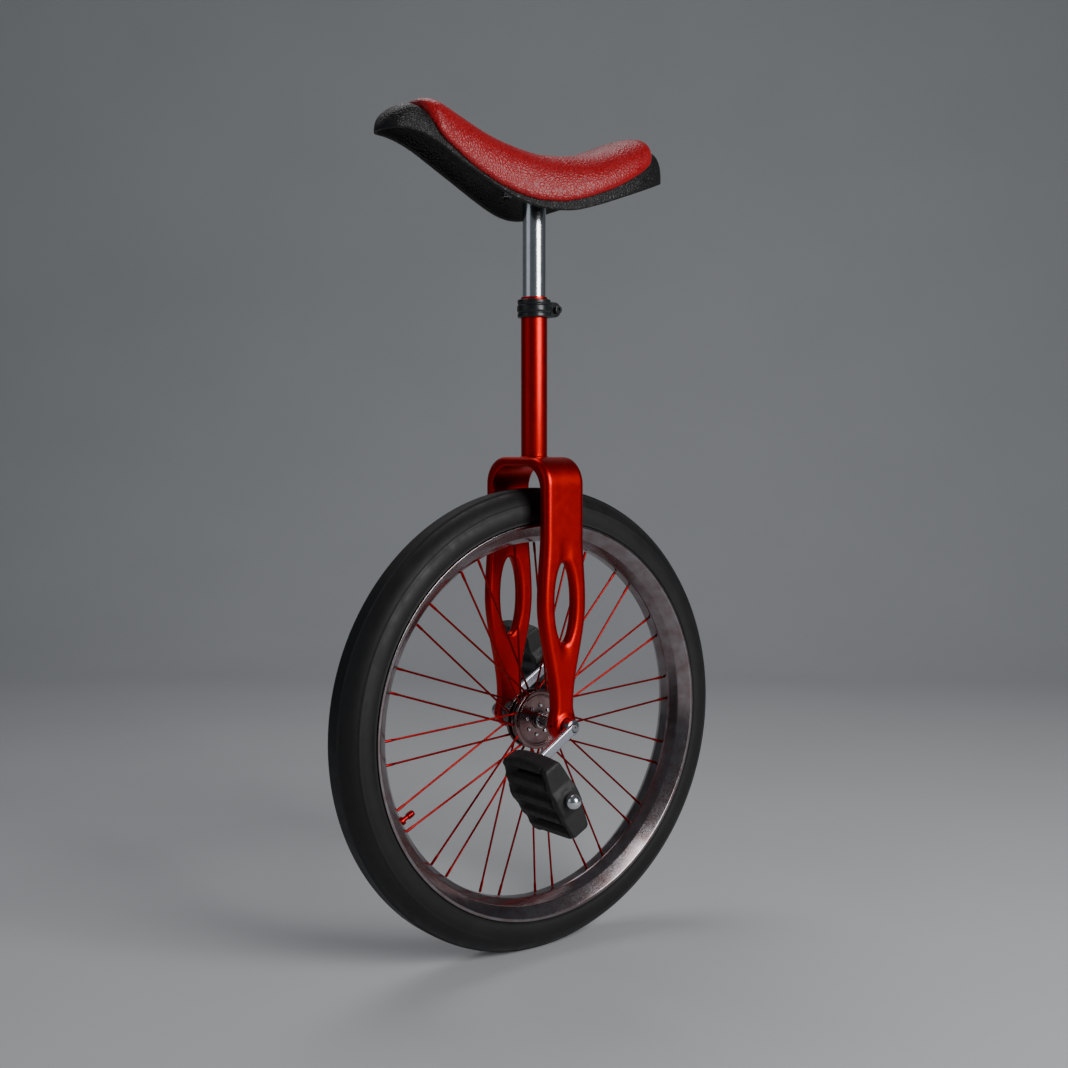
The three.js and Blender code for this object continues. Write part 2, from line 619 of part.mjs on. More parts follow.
// The pedal body: two six-sided end plates, a barrel over the spindle and tread bars between them.
function pedalBody(side) {
  const plate = shapeOf([[-PEDAL_HALF_LENGTH, -PEDAL_END_HALF], [0, -PEDAL_MIDDLE_HALF],
    [PEDAL_HALF_LENGTH, -PEDAL_END_HALF], [PEDAL_HALF_LENGTH, PEDAL_END_HALF], [0, PEDAL_MIDDLE_HALF],
    [-PEDAL_HALF_LENGTH, PEDAL_END_HALF]]);
  const between = (y0, y1) => [side * y0, side * y1].sort((a, b) => a - b);
  const plates = [
    between(PEDAL_INNER_Y, PEDAL_INNER_Y + PEDAL_PLATE),
    between(PEDAL_OUTER_Y - PEDAL_PLATE, PEDAL_OUTER_Y),
  ].map((ends) => solid(slab(plate, ...ends)));
  const length = PEDAL_OUTER_Y - PEDAL_INNER_Y - PEDAL_PLATE;
  const middle = (side * (PEDAL_INNER_Y + PEDAL_OUTER_Y)) / 2;
  const fall = (PEDAL_MIDDLE_HALF - PEDAL_END_HALF) / PEDAL_HALF_LENGTH;
  const bar = (u, width) => {
    const thickness = 2 * (PEDAL_MIDDLE_HALF - Math.abs(u) * fall) - 3;
    return solid(new THREE.BoxGeometry(width, length, thickness).translate(u, middle, 0));
  };
  const bars = [-PEDAL_BAR_IN, PEDAL_BAR_IN, PEDAL_BAR_OUT].map((u) => bar(u, PEDAL_BAR_WIDTH));
  bars.push(bar(-PEDAL_BAR_OUT - PEDAL_REAR_REACH / 2, PEDAL_BAR_WIDTH + PEDAL_REAR_REACH));
  const barrel = sided(side, PEDAL_BARREL_R, PEDAL_INNER_Y + 1, PEDAL_OUTER_Y - 1, 16);
  const bore = sided(side, SPINDLE_R + 0.8, PEDAL_INNER_Y - 1, PEDAL_OUTER_Y + 1, 16);
  const body = cut(join(...plates, barrel, ...bars), bore).rotate([0, -PEDAL_TILT, 0]);
  return onPedalAxis(side, body);
}

// The polished ball on the pedal's outer end.
function pedalBall(side) {
  const flat = PEDAL_OUTER_Y + GAP - PEDAL_BALL_Y;
  const start = Math.asin(flat / PEDAL_BALL_R);
  const steps = 7;
  const arc = Array.from({ length: steps + 1 }, (_, i) => {
    const a = start + ((Math.PI / 2 - start) * i) / steps;
    return [i === steps ? 0 : PEDAL_BALL_R * Math.cos(a), PEDAL_BALL_Y + PEDAL_BALL_R * Math.sin(a)];
  });
  const profile = [[0, PEDAL_OUTER_Y + GAP], ...arc];
  return onPedalAxis(side, solid(turned(profile.map(([r, y]) => [r, side * y]), 16)));
}

// ---------------------------------------------------------------- the assembly
piece("tyre", tyre(), TYRE_RUBBER);
piece("inner_tube", innerTube(), TUBE_RUBBER);
piece("rim", rim(), POLISHED_ALLOY);
piece("valve_stem", valve(), SPOKE_RED);
addSpokes();
piece("hub_shell", hubShell(), CHROME);
piece("axle", axle(), CHROME);

piece("frame", frame(), FRAME_RED);
piece("seat_collar", collar(), BLACK_ALLOY);
piece("collar_bolt", collarBolt(), BLACK_ALLOY);

piece("seatpost", seatpost(), CHROME);
corners.forEach((place, i) => piece(`saddle_nut_${i + 1}`, nut(place), STEEL));
piece("saddle_shell", saddleShell(), SHELL_BLACK);
piece("saddle_pad", saddlePad(), PAD_RED);

for (const [side, name] of [[LEFT, "left"], [RIGHT, "right"]]) {
  piece(`bearing_${name}`, bearing(side), STEEL);
  piece(`crank_${name}`, crank(side), POLISHED_ALLOY);
  piece(`crank_bolt_${name}`, crankBolt(side), STEEL);
  piece(`pedal_spindle_${name}`, pedalSpindle(side), STEEL);
  piece(`pedal_body_${name}`, pedalBody(side), PEDAL_BLACK);
  piece(`pedal_ball_${name}`, pedalBall(side), CHROME);
}

export default unicycle;
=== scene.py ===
"""The looks of the unicycle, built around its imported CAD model.

Sizes are in millimetres and places are measured from the middle of the axle, with +X forward,
+Y to the rider's left and +Z up. place() turns them into the frame's metres.
"""

import json
import math

import bpy
import numpy as np
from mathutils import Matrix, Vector


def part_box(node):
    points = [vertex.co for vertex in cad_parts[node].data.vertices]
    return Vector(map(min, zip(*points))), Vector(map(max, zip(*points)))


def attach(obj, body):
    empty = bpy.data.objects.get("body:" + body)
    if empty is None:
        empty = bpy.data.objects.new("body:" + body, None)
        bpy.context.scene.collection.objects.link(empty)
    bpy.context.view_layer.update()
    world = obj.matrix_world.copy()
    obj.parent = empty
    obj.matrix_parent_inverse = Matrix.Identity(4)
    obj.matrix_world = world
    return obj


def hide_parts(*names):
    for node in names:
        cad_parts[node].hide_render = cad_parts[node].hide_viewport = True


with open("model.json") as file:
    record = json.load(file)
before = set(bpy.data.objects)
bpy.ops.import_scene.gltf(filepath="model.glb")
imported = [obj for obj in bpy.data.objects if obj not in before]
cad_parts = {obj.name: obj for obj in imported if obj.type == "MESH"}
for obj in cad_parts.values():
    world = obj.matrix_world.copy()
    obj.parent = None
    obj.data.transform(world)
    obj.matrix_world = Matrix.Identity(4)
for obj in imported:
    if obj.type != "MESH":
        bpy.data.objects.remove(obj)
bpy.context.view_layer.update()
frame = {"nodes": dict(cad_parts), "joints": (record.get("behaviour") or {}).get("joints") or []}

# ------------------------------------------------------------------ camera
CAMERA_PLACE = (0.9443, 1.2114, 0.55465)
CAMERA_HEADING = 142.07  # degrees about +Z
CAMERA_DIP = 3.552  # degrees below the horizon
CAMERA_LENS = 47.3

camera = bpy.data.objects.new("camera", bpy.data.cameras.new("camera"))
bpy.context.scene.collection.objects.link(camera)
camera.location = CAMERA_PLACE
camera.rotation_euler = (math.radians(90 - CAMERA_DIP), 0, math.radians(CAMERA_HEADING))
camera.data.lens = CAMERA_LENS
bpy.context.scene.camera = camera

# ------------------------------------------------------------------ sizes taken from the frame
MM = 0.001
LEFT, RIGHT = 1, -1
JOINTS = {joint["name"]: joint for joint in frame["joints"]}
AXLE_Z = JOINTS["wheel_spin"]["pos_m"][2]


def extent(node):
    """A CAD node's lowest and highest corners, in millimetres from the axle's middle."""
    offset = np.array([0, 0, AXLE_Z])
    return [(np.array(corner) - offset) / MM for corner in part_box(node)]


TYRE_R = extent("tyre")[1][0]
TYRE_SECTION_R = extent("tyre")[1][1]
TYRE_CENTRE_R = TYRE_R - TYRE_SECTION_R
RIM_EDGE_R = extent("rim")[1][0]
RIM_HALF_WIDTH = extent("rim")[1][1]
RIM_INNER_R = 196.5
FLANGE_R = extent("hub_shell")[1][2]
HUB_HALF_WIDTH = extent("hub_shell")[1][1]
FLANGE_Y = 7
AXLE_SLEEVE_R = extent("axle")[1][2]
AXLE_HALF_LENGTH = extent("axle")[1][1]
LEG_OUTER_Y = extent("frame")[1][1]
LEG_HALF_THICKNESS = 6.75
LEG_SWELL = 1.2  # the struts beside the slot are thicker inwards
LEG_Y = LEG_OUTER_Y - LEG_HALF_THICKNESS
CROWN_TOP = 288.6
SEAT_TUBE_R = 14.3
SEAT_TUBE_TOP = extent("frame")[1][2]
POST_R = 12.7
POST_BOTTOM, POST_TOP = extent("seatpost")[0][2], extent("seatpost")[1][2]
COLLAR_BOTTOM, COLLAR_TOP = extent("seat_collar")[0][2], extent("seat_collar")[1][2]
COLLAR_R = extent("seat_collar")[1][1]
CRANK_OUTER_Y = extent("crank_left")[1][1]
PEDAL_TILT = 62
PEDAL_INNER_Y, PEDAL_OUTER_Y = extent("pedal_body_left")[0][1], extent("pedal_body_left")[1][1]
PEDAL_BALL_R = 7.8
PEDAL_BALL_Y = extent("pedal_ball_left")[1][1] - PEDAL_BALL_R


def pedal_axis(side):
    """Where a pedal's axis crosses the wheel's plane, as (x, z)."""
    x, _, z = JOINTS["left_pedal_spin" if side == LEFT else "right_pedal_spin"]["pos_m"]
    return x / MM, (z - AXLE_Z) / MM


# ------------------------------------------------------------------ mesh helpers
def place(points):
    """Millimetres from the axle's middle as metres in the row frame."""
    return np.asarray(points, float) * MM + np.array([0, 0, AXLE_Z])


def make(name, shapes, material, body, replaces=(), sharp=38):
    """One piece from a list of (points, faces), riding on a body in place of CAD nodes."""
    points, faces = [], []
    for shape_points, shape_faces in shapes:
        start = len(points)
        points.extend(shape_points)
        faces.extend([tuple(int(i) + start for i in face) for face in shape_faces])
    mesh = bpy.data.meshes.new(name)
    mesh.from_pydata(place(points).tolist(), [], faces)
    mesh.update()
    mesh.shade_smooth()
    mesh.set_sharp_from_angle(angle=math.radians(sharp))
    mesh.materials.append(material)
    piece = bpy.data.objects.new(name, mesh)
    bpy.context.scene.collection.objects.link(piece)
    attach(piece, body)
    if replaces:
        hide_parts(*replaces)
    return piece


def arced(corners, steps=5, closed=True):
    """An outline through corners of (a, b, radius), each turned into an arc of that radius."""
    made = []
    count = len(corners)
    for i, (a, b, radius) in enumerate(corners):
        here = np.array([a, b], float)
        if radius == 0 or (not closed and i in (0, count - 1)):
            made.append(here)
            continue
        before = np.array(corners[i - 1][:2], float) - here
        after = np.array(corners[(i + 1) % count][:2], float) - here
        long_before, long_after = np.linalg.norm(before), np.linalg.norm(after)
        before, after = before / long_before, after / long_after
        half = math.acos(np.clip(before @ after, -1, 1)) / 2
        reach = min(radius / math.tan(half), 0.48 * long_before, 0.48 * long_after)
        middle = (before + after) / np.linalg.norm(before + after)
        centre = here + middle * reach / math.cos(half)
        first, last = here + before * reach - centre, here + after * reach - centre
        for t in np.linspace(0, 1, steps):
            spoke = first * (1 - t) + last * t
            made.append(centre + spoke / np.linalg.norm(spoke) * np.linalg.norm(first))
    return [tuple(point) for point in made]


def turned(profile, segments):
    """A profile of (radius, y) turned about Y. It is a closed loop, or runs from the axis to the axis."""
    on_axis = profile[0][0] == 0
    rings = profile[1:-1] if on_axis else profile
    points, faces = [], []
    angles = np.linspace(0, 2 * math.pi, segments, endpoint=False)
    for radius, y in rings:
        points.extend([(radius * math.cos(a), y, radius * math.sin(a)) for a in angles])
    count = len(rings)
    for i in range(count - 1 if on_axis else count):
        low, high = i * segments, (i + 1) % count * segments
        for j in range(segments):
            k = (j + 1) % segments
            faces.append((low + j, low + k, high + k, high + j))
    if on_axis:
        for end, ring in ((profile[0], 0), (profile[-1], (count - 1) * segments)):
            points.append((0, end[1], 0))
            for j in range(segments):
                k = (j + 1) % segments
                fan = (len(points) - 1, ring + k, ring + j)
                faces.append(fan if ring == 0 else fan[::-1])
    return outward(np.array(points), faces)


def outward(points, faces):
    """The same closed shape with its faces turned out."""
    volume = sum(
        np.dot(points[face[0]], np.cross(points[face[i]], points[face[i + 1]]))
        for face in faces
        for i in range(1, len(face) - 1)
    )
    return (points, faces) if volume > 0 else (points, [face[::-1] for face in faces])


def upright(shape):
    """Turns a shape whose axis is Y so that its axis is Z."""
    points, faces = shape
    return outward(points[:, [0, 2, 1]] * [1, -1, 1], faces)


def moved(shape, x=0, y=0, z=0):
    return shape[0] + np.array([x, y, z]), shape[1]


def aimed(shape, start, end):
    """Moves a shape drawn from the origin along +Y so that it runs from start towards end."""
    start, end = Vector(start), Vector(end)
    turn = np.array(Vector((0, 1, 0)).rotation_difference(end - start).to_matrix())
    return shape[0] @ turn.T + np.array(start), shape[1]


def crossings(inside, axis):
    """Grid edges along an axis that cross the surface, as one (cells, lower end inside) pair."""
    low = [slice(1, -1)] * 3
    high = [slice(1, -1)] * 3
    low[axis], high[axis] = slice(None, -1), slice(1, None)
    below, above = inside[tuple(low)], inside[tuple(high)]
    found = np.argwhere(below != above)
    return found, below[below != above]


def skin(field, low, high, step, relax=4):
    """A closed quad mesh of the surface where a field of points is zero, drawn onto that surface."""
    axes = [np.arange(a - step, b + 2 * step, step) for a, b in zip(low, high)]
    grid = np.stack(np.meshgrid(*axes, indexing="ij"), -1)
    inside = field(grid.reshape(-1, 3)).reshape(grid.shape[:3]) < 0
    filled = np.zeros(np.array(inside.shape) - 1, int)
    for dx in (0, 1):
        for dy in (0, 1):
            for dz in (0, 1):
                end = [d - 1 or None for d in (dx, dy, dz)]
                filled += inside[dx:end[0], dy:end[1], dz:end[2]]
    crossed = (filled > 0) & (filled < 8)
    number = np.full(crossed.shape, -1)
    number[crossed] = np.arange(crossed.sum())
    points = grid[:-1, :-1, :-1][crossed] + step / 2

    faces = []
    for axis in range(3):
        found, below = crossings(inside, axis)
        one, two = [k for k in range(3) if k != axis]
        around = []
        for d1, d2 in ((0, 0), (1, 0), (1, 1), (0, 1)):
            cell = found.copy()
            cell[:, one] += d1
            cell[:, two] += d2
            around.append(number[tuple(cell.T)])
        quads = np.stack(around, 1)
        flip = below if axis == 1 else ~below
        quads[flip] = quads[flip][:, ::-1]
        faces.append(quads)
    faces = np.concatenate(faces)

    def gradient(at):
        h = step * 0.05
        return np.stack([
            (field(at + offset) - field(at - offset)) / (2 * h) for offset in np.eye(3) * h
        ], 1)

    def drawn(at, rounds):
        for _ in range(rounds):
            slope = gradient(at)
            size = np.maximum((slope ** 2).sum(1), 0.05)
            move = -(field(at) / size)[:, None] * slope
            length = np.linalg.norm(move, axis=1, keepdims=True)
            at = at + move * np.minimum(1, step * 0.7 / np.maximum(length, 1e-9))
        return at

    points = drawn(points, 4)
    pairs = np.concatenate([faces[:, [i, (i + 1) % 4]] for i in range(4)])
    for _ in range(relax):
        total = np.zeros_like(points)
        count = np.zeros(len(points))
        for a, b in ((0, 1), (1, 0)):
            np.add.at(total, pairs[:, a], points[pairs[:, b]])
            np.add.at(count, pairs[:, a], 1)
        points = drawn(points * 0.5 + total / count[:, None] * 0.5, 2)
    return points, faces.tolist()


# ------------------------------------------------------------------ fields, negative inside
def both(a, b, radius=0.0):
    """What two fields share, with a round edge between them."""
    if radius == 0:
        return np.maximum(a, b)
    corner = np.hypot(np.maximum(a + radius, 0), np.maximum(b + radius, 0))
    return np.minimum(np.maximum(a, b), -radius) + corner


def either(a, b, radius=0.0):
    """Two fields joined, with a fillet between them."""
    return -both(-a, -b, radius)


def ease(t):
    t = np.clip(t, 0, 1)
    return t * t * (3 - 2 * t)


def box_field(p, middle, half, radius):
    """A box with round edges."""
    q = np.abs(p - np.array(middle, float)) - (np.array(half, float) - radius)
    return np.linalg.norm(np.maximum(q, 0), axis=1) + np.minimum(q.max(1), 0) - radius


def disc_field(a, b, t, r, low, high, radius):
    """A round bar about the line a = b = 0, from low to high along t."""
    return both(np.hypot(a, b) - r, np.abs(t - (low + high) / 2) - (high - low) / 2, radius)


def smooth(points):
    """A smooth curve through points sorted by x, as a function of an array of x."""
    xs, ys = np.array(points, float).T
    slope = [
        (ys[min(i + 1, len(xs) - 1)] - ys[max(i - 1, 0)])
        / (xs[min(i + 1, len(xs) - 1)] - xs[max(i - 1, 0)])
        for i in range(len(xs))
    ]
    slope = np.array(slope)

    def curve(x):
        i = np.clip(np.searchsorted(xs, x, side="right") - 1, 0, len(xs) - 2)
        w = xs[i + 1] - xs[i]
        t = np.clip((x - xs[i]) / w, 0, 1)
        return (
            ys[i] * (1 + 2 * t) * (1 - t) ** 2
            + slope[i] * w * t * (1 - t) ** 2
            + ys[i + 1] * t * t * (3 - 2 * t)
            + slope[i + 1] * w * t * t * (t - 1)
        )

    return curve


# ------------------------------------------------------------------ materials
class Nodes:
    """A short way to write a node tree on one Principled shader."""

    def __init__(self, name, **sockets):
        self.material = bpy.data.materials.new(name)
        self.material.use_nodes = True
        self.tree = self.material.node_tree
        self.shader = self.tree.nodes["Principled BSDF"]
        for socket, value in sockets.items():
            self.shader.inputs[socket.replace("_", " ")].default_value = value
        self.place = self.add("ShaderNodeTexCoord").outputs["Object"]

    def add(self, kind, **settings):
        node = self.tree.nodes.new(kind)
        for key, value in settings.items():
            setattr(node, key, value)
        return node

    def link(self, a, b):
        self.tree.links.new(a, b)

    def noise(self, scale, detail=3, roughness=0.5, stretch=(1, 1, 1)):
        """Noise in the row frame, with scale in features per metre."""
        mapping = self.add("ShaderNodeMapping")
        mapping.inputs["Scale"].default_value = stretch
        self.link(self.place, mapping.inputs["Vector"])
        node = self.add("ShaderNodeTexNoise")
        node.inputs["Scale"].default_value = scale
        node.inputs["Detail"].default_value = detail
        node.inputs["Roughness"].default_value = roughness
        self.link(mapping.outputs["Vector"], node.inputs["Vector"])
        return node.outputs["Fac"]

    def cells(self, scale, feature="DISTANCE_TO_EDGE", randomness=1.0):
        node = self.add("ShaderNodeTexVoronoi", feature=feature)
        node.inputs["Scale"].default_value = scale
        node.inputs["Randomness"].default_value = randomness
        self.link(self.place, node.inputs["Vector"])
        return node.outputs["Distance"]

    def ramp(self, value, low, high, start=0.0, end=1.0):
        """value from low..high as start..end."""
        node = self.add("ShaderNodeMapRange")
        for socket, number in (("From Min", low), ("From Max", high), ("To Min", start), ("To Max", end)):
            node.inputs[socket].default_value = number
        self.link(value, node.inputs["Value"])
        return node.outputs["Result"]

    def colours(self, factor, first, second):
        """first to second as factor goes from 0 to 1, on the base colour."""
        node = self.add("ShaderNodeMix", data_type="RGBA")
        for socket, colour in ((node.inputs[6], first), (node.inputs[7], second)):
            socket.default_value = (*colour, 1)
        self.link(factor, node.inputs["Factor"])
        self.link(node.outputs[2], self.shader.inputs["Base Color"])

    def rough(self, value, low, high):
        """Roughness from low to high as value goes from 0 to 1."""
        self.link(self.ramp(value, 0.3, 0.7, low, high), self.shader.inputs["Roughness"])

    def bump(self, height, distance, strength=1.0, after=None):
        """Adds a bump of a height field, in metres, on top of an earlier one."""
        node = self.add("ShaderNodeBump")
        node.inputs["Distance"].default_value = distance
        node.inputs["Strength"].default_value = strength
        self.link(height, node.inputs["Height"])
        if after:
            self.link(after.outputs["Normal"], node.inputs["Normal"])
        self.link(node.outputs["Normal"], self.shader.inputs["Normal"])
        return node


def candy_red(name, deep, bright, roughness):
    """Red lacquer over polished metal: slightly uneven in depth, with a faint orange peel."""
    nodes = Nodes(name, Metallic=1.0, Coat_Weight=0.04, Coat_Roughness=0.12, Coat_IOR=1.45)
    nodes.colours(nodes.ramp(nodes.noise(35, 4), 0.3, 0.7), deep, bright)
    nodes.rough(nodes.noise(120, 4), roughness - 0.02, roughness + 0.03)
    nodes.bump(nodes.noise(700, 2), 0.000006, 0.3)
    return nodes.material


def bright_metal(name, colour, smear_and_reflection, low, high, stretch=(1, 1, 1), grain=600, depth=0.000008):
    """Polished metal with faint smears and polishing lines. On the rim, the hub and the cranks its colours
    also carry a painted reflection.
    """
    nodes = Nodes(name, Metallic=1.0)
    # Faint smears; on the rim, the hub and the cranks the two colours are also a painted reflection.
    nodes.colours(nodes.ramp(nodes.noise(60, 5, 0.6), 0.35, 0.75), colour, smear_and_reflection)
    nodes.rough(nodes.noise(grain, 3, stretch=stretch), low, high)
    nodes.bump(nodes.noise(grain * 1.5, 2, stretch=stretch), depth, 0.4)
    return nodes.material


def tyre_rubber():
    """Black rubber with a fine moulded grain and dusty patches."""
    nodes = Nodes("tyre_rubber", Specular_IOR_Level=0.36)
    dust = nodes.ramp(nodes.noise(22, 6, 0.65), 0.3, 0.75)
    nodes.colours(dust, (0.004, 0.004, 0.004), (0.009, 0.009, 0.0088))
    nodes.rough(nodes.noise(90, 5), 0.46, 0.62)
    fine = nodes.bump(nodes.noise(2600, 3), 0.00004, 0.5)
    nodes.bump(nodes.noise(300, 2), 0.00003, 0.3, after=fine)
    return nodes.material


def pebbled(name, dark, light, low, high, pebble, depth):
    """Leather or leather-grained plastic: rounded pebbles between fine creases."""
    nodes = Nodes(name, Specular_IOR_Level=0.36)
    edge = nodes.cells(pebble)
    # Painted shade: the colour darkens into the creases between the pebbles.
    nodes.colours(nodes.ramp(edge, 0.0, 0.16), dark, light)
    nodes.rough(nodes.noise(70, 4), low, high)
    round_top = nodes.ramp(edge, 0.0, 0.32)
    first = nodes.bump(round_top, depth, 0.7)
    second = nodes.bump(nodes.cells(pebble * 2.7), depth * 0.35, 0.5, after=first)
    nodes.bump(nodes.noise(pebble * 6, 3), depth * 0.2, 0.4, after=second)
    return nodes.material


def moulded(name, dark, light, low, high, depth=0.00004):
    """Matt moulded plastic with a spark-eroded grain."""
    nodes = Nodes(name)
    nodes.colours(nodes.ramp(nodes.noise(45, 5, 0.6), 0.3, 0.7), dark, light)
    nodes.rough(nodes.noise(150, 4), low, high)
    nodes.bump(nodes.noise(1800, 4, 0.6), depth, 0.7)
    return nodes.material


FRAME_RED = candy_red("frame_red", (0.54, 0.003, 0.003), (0.60, 0.004, 0.004), 0.37)
SPOKE_RED = candy_red("spoke_red", (0.26, 0.004, 0.005), (0.32, 0.006, 0.007), 0.32)
CHROME = bright_metal("chrome", (0.74, 0.75, 0.78), (0.64, 0.65, 0.68), 0.15, 0.22)
# Painted shade and reflection: the hub's chrome is a darkened, red-tinted copy of the chrome, standing for
# its shaded face and the red frame reflected in it.
HUB_CHROME_SHADE_AND_RED_REFLECTION = bright_metal("hub_chrome_painted_shade_and_reflection", (0.24, 0.16, 0.16), (0.13, 0.06, 0.06), 0.12, 0.20)
# Painted reflection: the rim's alloy is darkened and mottled with red-brown, standing for dark surroundings
# and the red frame reflected in it.
RIM_ALLOY_RED_REFLECTION = bright_metal("polished_rim_painted_reflection", (0.30, 0.27, 0.28), (0.20, 0.13, 0.13), 0.15, 0.26)
# Painted reflection: the cranks' alloy is darkened and tinted blue-grey, standing for the sky reflected in
# it.
CRANK_ALLOY_SKY_REFLECTION = bright_metal("polished_crank_painted_reflection", (0.50, 0.51, 0.56), (0.42, 0.43, 0.48), 0.16, 0.26)
# Painted shade: the steel is darkened so that the stud nuts under the saddle sink into the shade there; the
# bearings, screws and spindles share it.
STEEL = bright_metal("plated_steel_painted_shade", (0.30, 0.30, 0.31), (0.20, 0.20, 0.21), 0.32, 0.48)
TYRE_RUBBER = tyre_rubber()
TUBE_RUBBER = moulded("tube_rubber", (0.012, 0.012, 0.012), (0.022, 0.022, 0.022), 0.6, 0.8)
BLACK_ALLOY = moulded("black_alloy", (0.007, 0.009, 0.009), (0.012, 0.015, 0.015), 0.24, 0.36, 0.000015)
PEDAL_BLACK = moulded("pedal_black", (0.003, 0.003, 0.003), (0.010, 0.0096, 0.009), 0.48, 0.66, 0.0004)
SHELL_BLACK = pebbled("shell_black", (0.002, 0.002, 0.002), (0.008, 0.0078, 0.007), 0.40, 0.54, 330, 0.0006)
PAD_RED = pebbled("pad_red", (0.22, 0.003, 0.006), (0.37, 0.006, 0.010), 0.28, 0.38, 300, 0.00036)


# ------------------------------------------------------------------ wheel
def on_section(radius, degrees):
    """A point of a round section about the tyre's core, at an angle from its +Y side."""
    a = math.radians(degrees)
    return TYRE_CENTRE_R + radius * math.sin(a), radius * math.cos(a)


def mirrored(half):
    """A closed outline from its +Y half, which runs from one edge to the middle."""
    return [*half, *[(r, -y) for r, y in reversed(half)]]


def tyre():
    tread = 7
    wall = 4
    outside = [(218.2, 24.4), (219.2, 25.6)]
    outside += [on_section(TYRE_SECTION_R, a) for a in np.linspace(-17, 18, 12)]
    outside += [on_section(TYRE_SECTION_R + 0.35, a) for a in (20, 21.5, 23)]  # shoulder line
    outside += [on_section(TYRE_SECTION_R, a) for a in np.linspace(25, 68, 14)]
    outside += [(TYRE_R - 0.1, tread + 1.5), (TYRE_R, tread - 1), (TYRE_R, 2)]
    inside = [(214.9, 23.4), (214.9, 19.5)]
    inside += [on_section(TYRE_SECTION_R - wall, a) for a in np.linspace(-28, 82, 12)]
    profile = [*mirrored(outside), *reversed(mirrored(inside))]
    make("tyre_casing", [turned(profile, 256)], TYRE_RUBBER, "wheel", ["tyre"])


def rim():
    hub_side = [
        (RIM_EDGE_R, RIM_HALF_WIDTH, 0.8), (214.6, RIM_HALF_WIDTH, 2.2), (203.5, 16.5, 8),
        (RIM_INNER_R, 6, 6),
    ]
    tyre_side = [(RIM_EDGE_R, 24.8, 0.8), (214.3, 24, 1), (205, 13, 4), (201, 4, 3)]
    back = [(r, -y, c) for r, y, c in reversed(hub_side)]
    well = [(r, -y, c) for r, y, c in tyre_side] + list(reversed(tyre_side))
    profile = arced([*hub_side, *back, *well], 6)
    make("rim_ring", [turned(profile, 256)], RIM_ALLOY_RED_REFLECTION, "wheel", ["rim"])


def valve():
    """A capped stem with its round nut, pointing at the axle."""
    angle = -26.5
    profile = arced([
        (0, 178, 0), (2.9, 178, 0.8), (3.4, 180, 0.4), (3.4, 186, 0.5), (2.5, 186.4, 0.2), (2.5, 191.6, 0.2),
        (4.7, 192, 0.5), (4.7, 195.6, 0.4), (3, 195.8, 0.1), (3, 206.5, 0.3), (0, 206.5, 0),
    ], 5, closed=False)
    stem = turned(profile, 32)
    ring_profile = arced([(3.2, -0.3, 0.2), (3.65, -0.3, 0.3), (3.65, 0.3, 0.3), (3.2, 0.3, 0.2)], 3)
    rings = [moved(turned(ring_profile, 32), y=y) for y in (181.5, 183, 184.5)]
    a = math.radians(angle)
    end = (math.cos(a), 0, math.sin(a))
    shapes = [aimed(shape, (0, 0, 0), end) for shape in [stem, *rings]]
    make("valve", shapes, SPOKE_RED, "wheel", ["valve_stem"])


SPOKE_PAIRS = 16
SPOKE_R = 1.15
SPOKE_STEP = 1.6
PAIR_PHASE = -4
PAIR_SPREAD_RIM = 3.75
PAIR_SPREAD_HUB = 22.5


def at_angle(radius, degrees, y):
    a = math.radians(degrees)
    return (radius * math.cos(a), y, radius * math.sin(a))


def spoke_shape(length):
    """A spoke drawn along +Y: a swaged end at the flange and a long nipple at the rim."""
    nipple = length - 12
    return turned(arced([
        (0, -1.2, 0), (1.35, -1.2, 0.4), (1.35, 4, 0.5), (SPOKE_R, 7, 2), (SPOKE_R, nipple - 1, 0.1),
        (1.3, nipple, 0.3), (1.5, nipple + 3, 0.4), (1.5, length, 0.3), (0, length, 0),
    ], 4, closed=False), 14)


def spokes():
    for k in range(SPOKE_PAIRS):
        middle = PAIR_PHASE + k * 360 / SPOKE_PAIRS
        for number, side in ((2 * k + 1, 1), (2 * k + 2, -1)):
            flange = -side if k % 2 else side
            start_y = flange * (FLANGE_Y + side * SPOKE_STEP)
            start = at_angle(FLANGE_R + 0.8, middle + side * PAIR_SPREAD_HUB, start_y)
            end = at_angle(RIM_INNER_R - 0.9, middle + side * PAIR_SPREAD_RIM, flange * 0.6)
            length = (Vector(end) - Vector(start)).length
            shape = aimed(spoke_shape(length), start, end)
            make(f"spoke_wire_{number:02d}", [shape], SPOKE_RED, "wheel", [f"spoke_{number:02d}"],
                 60)


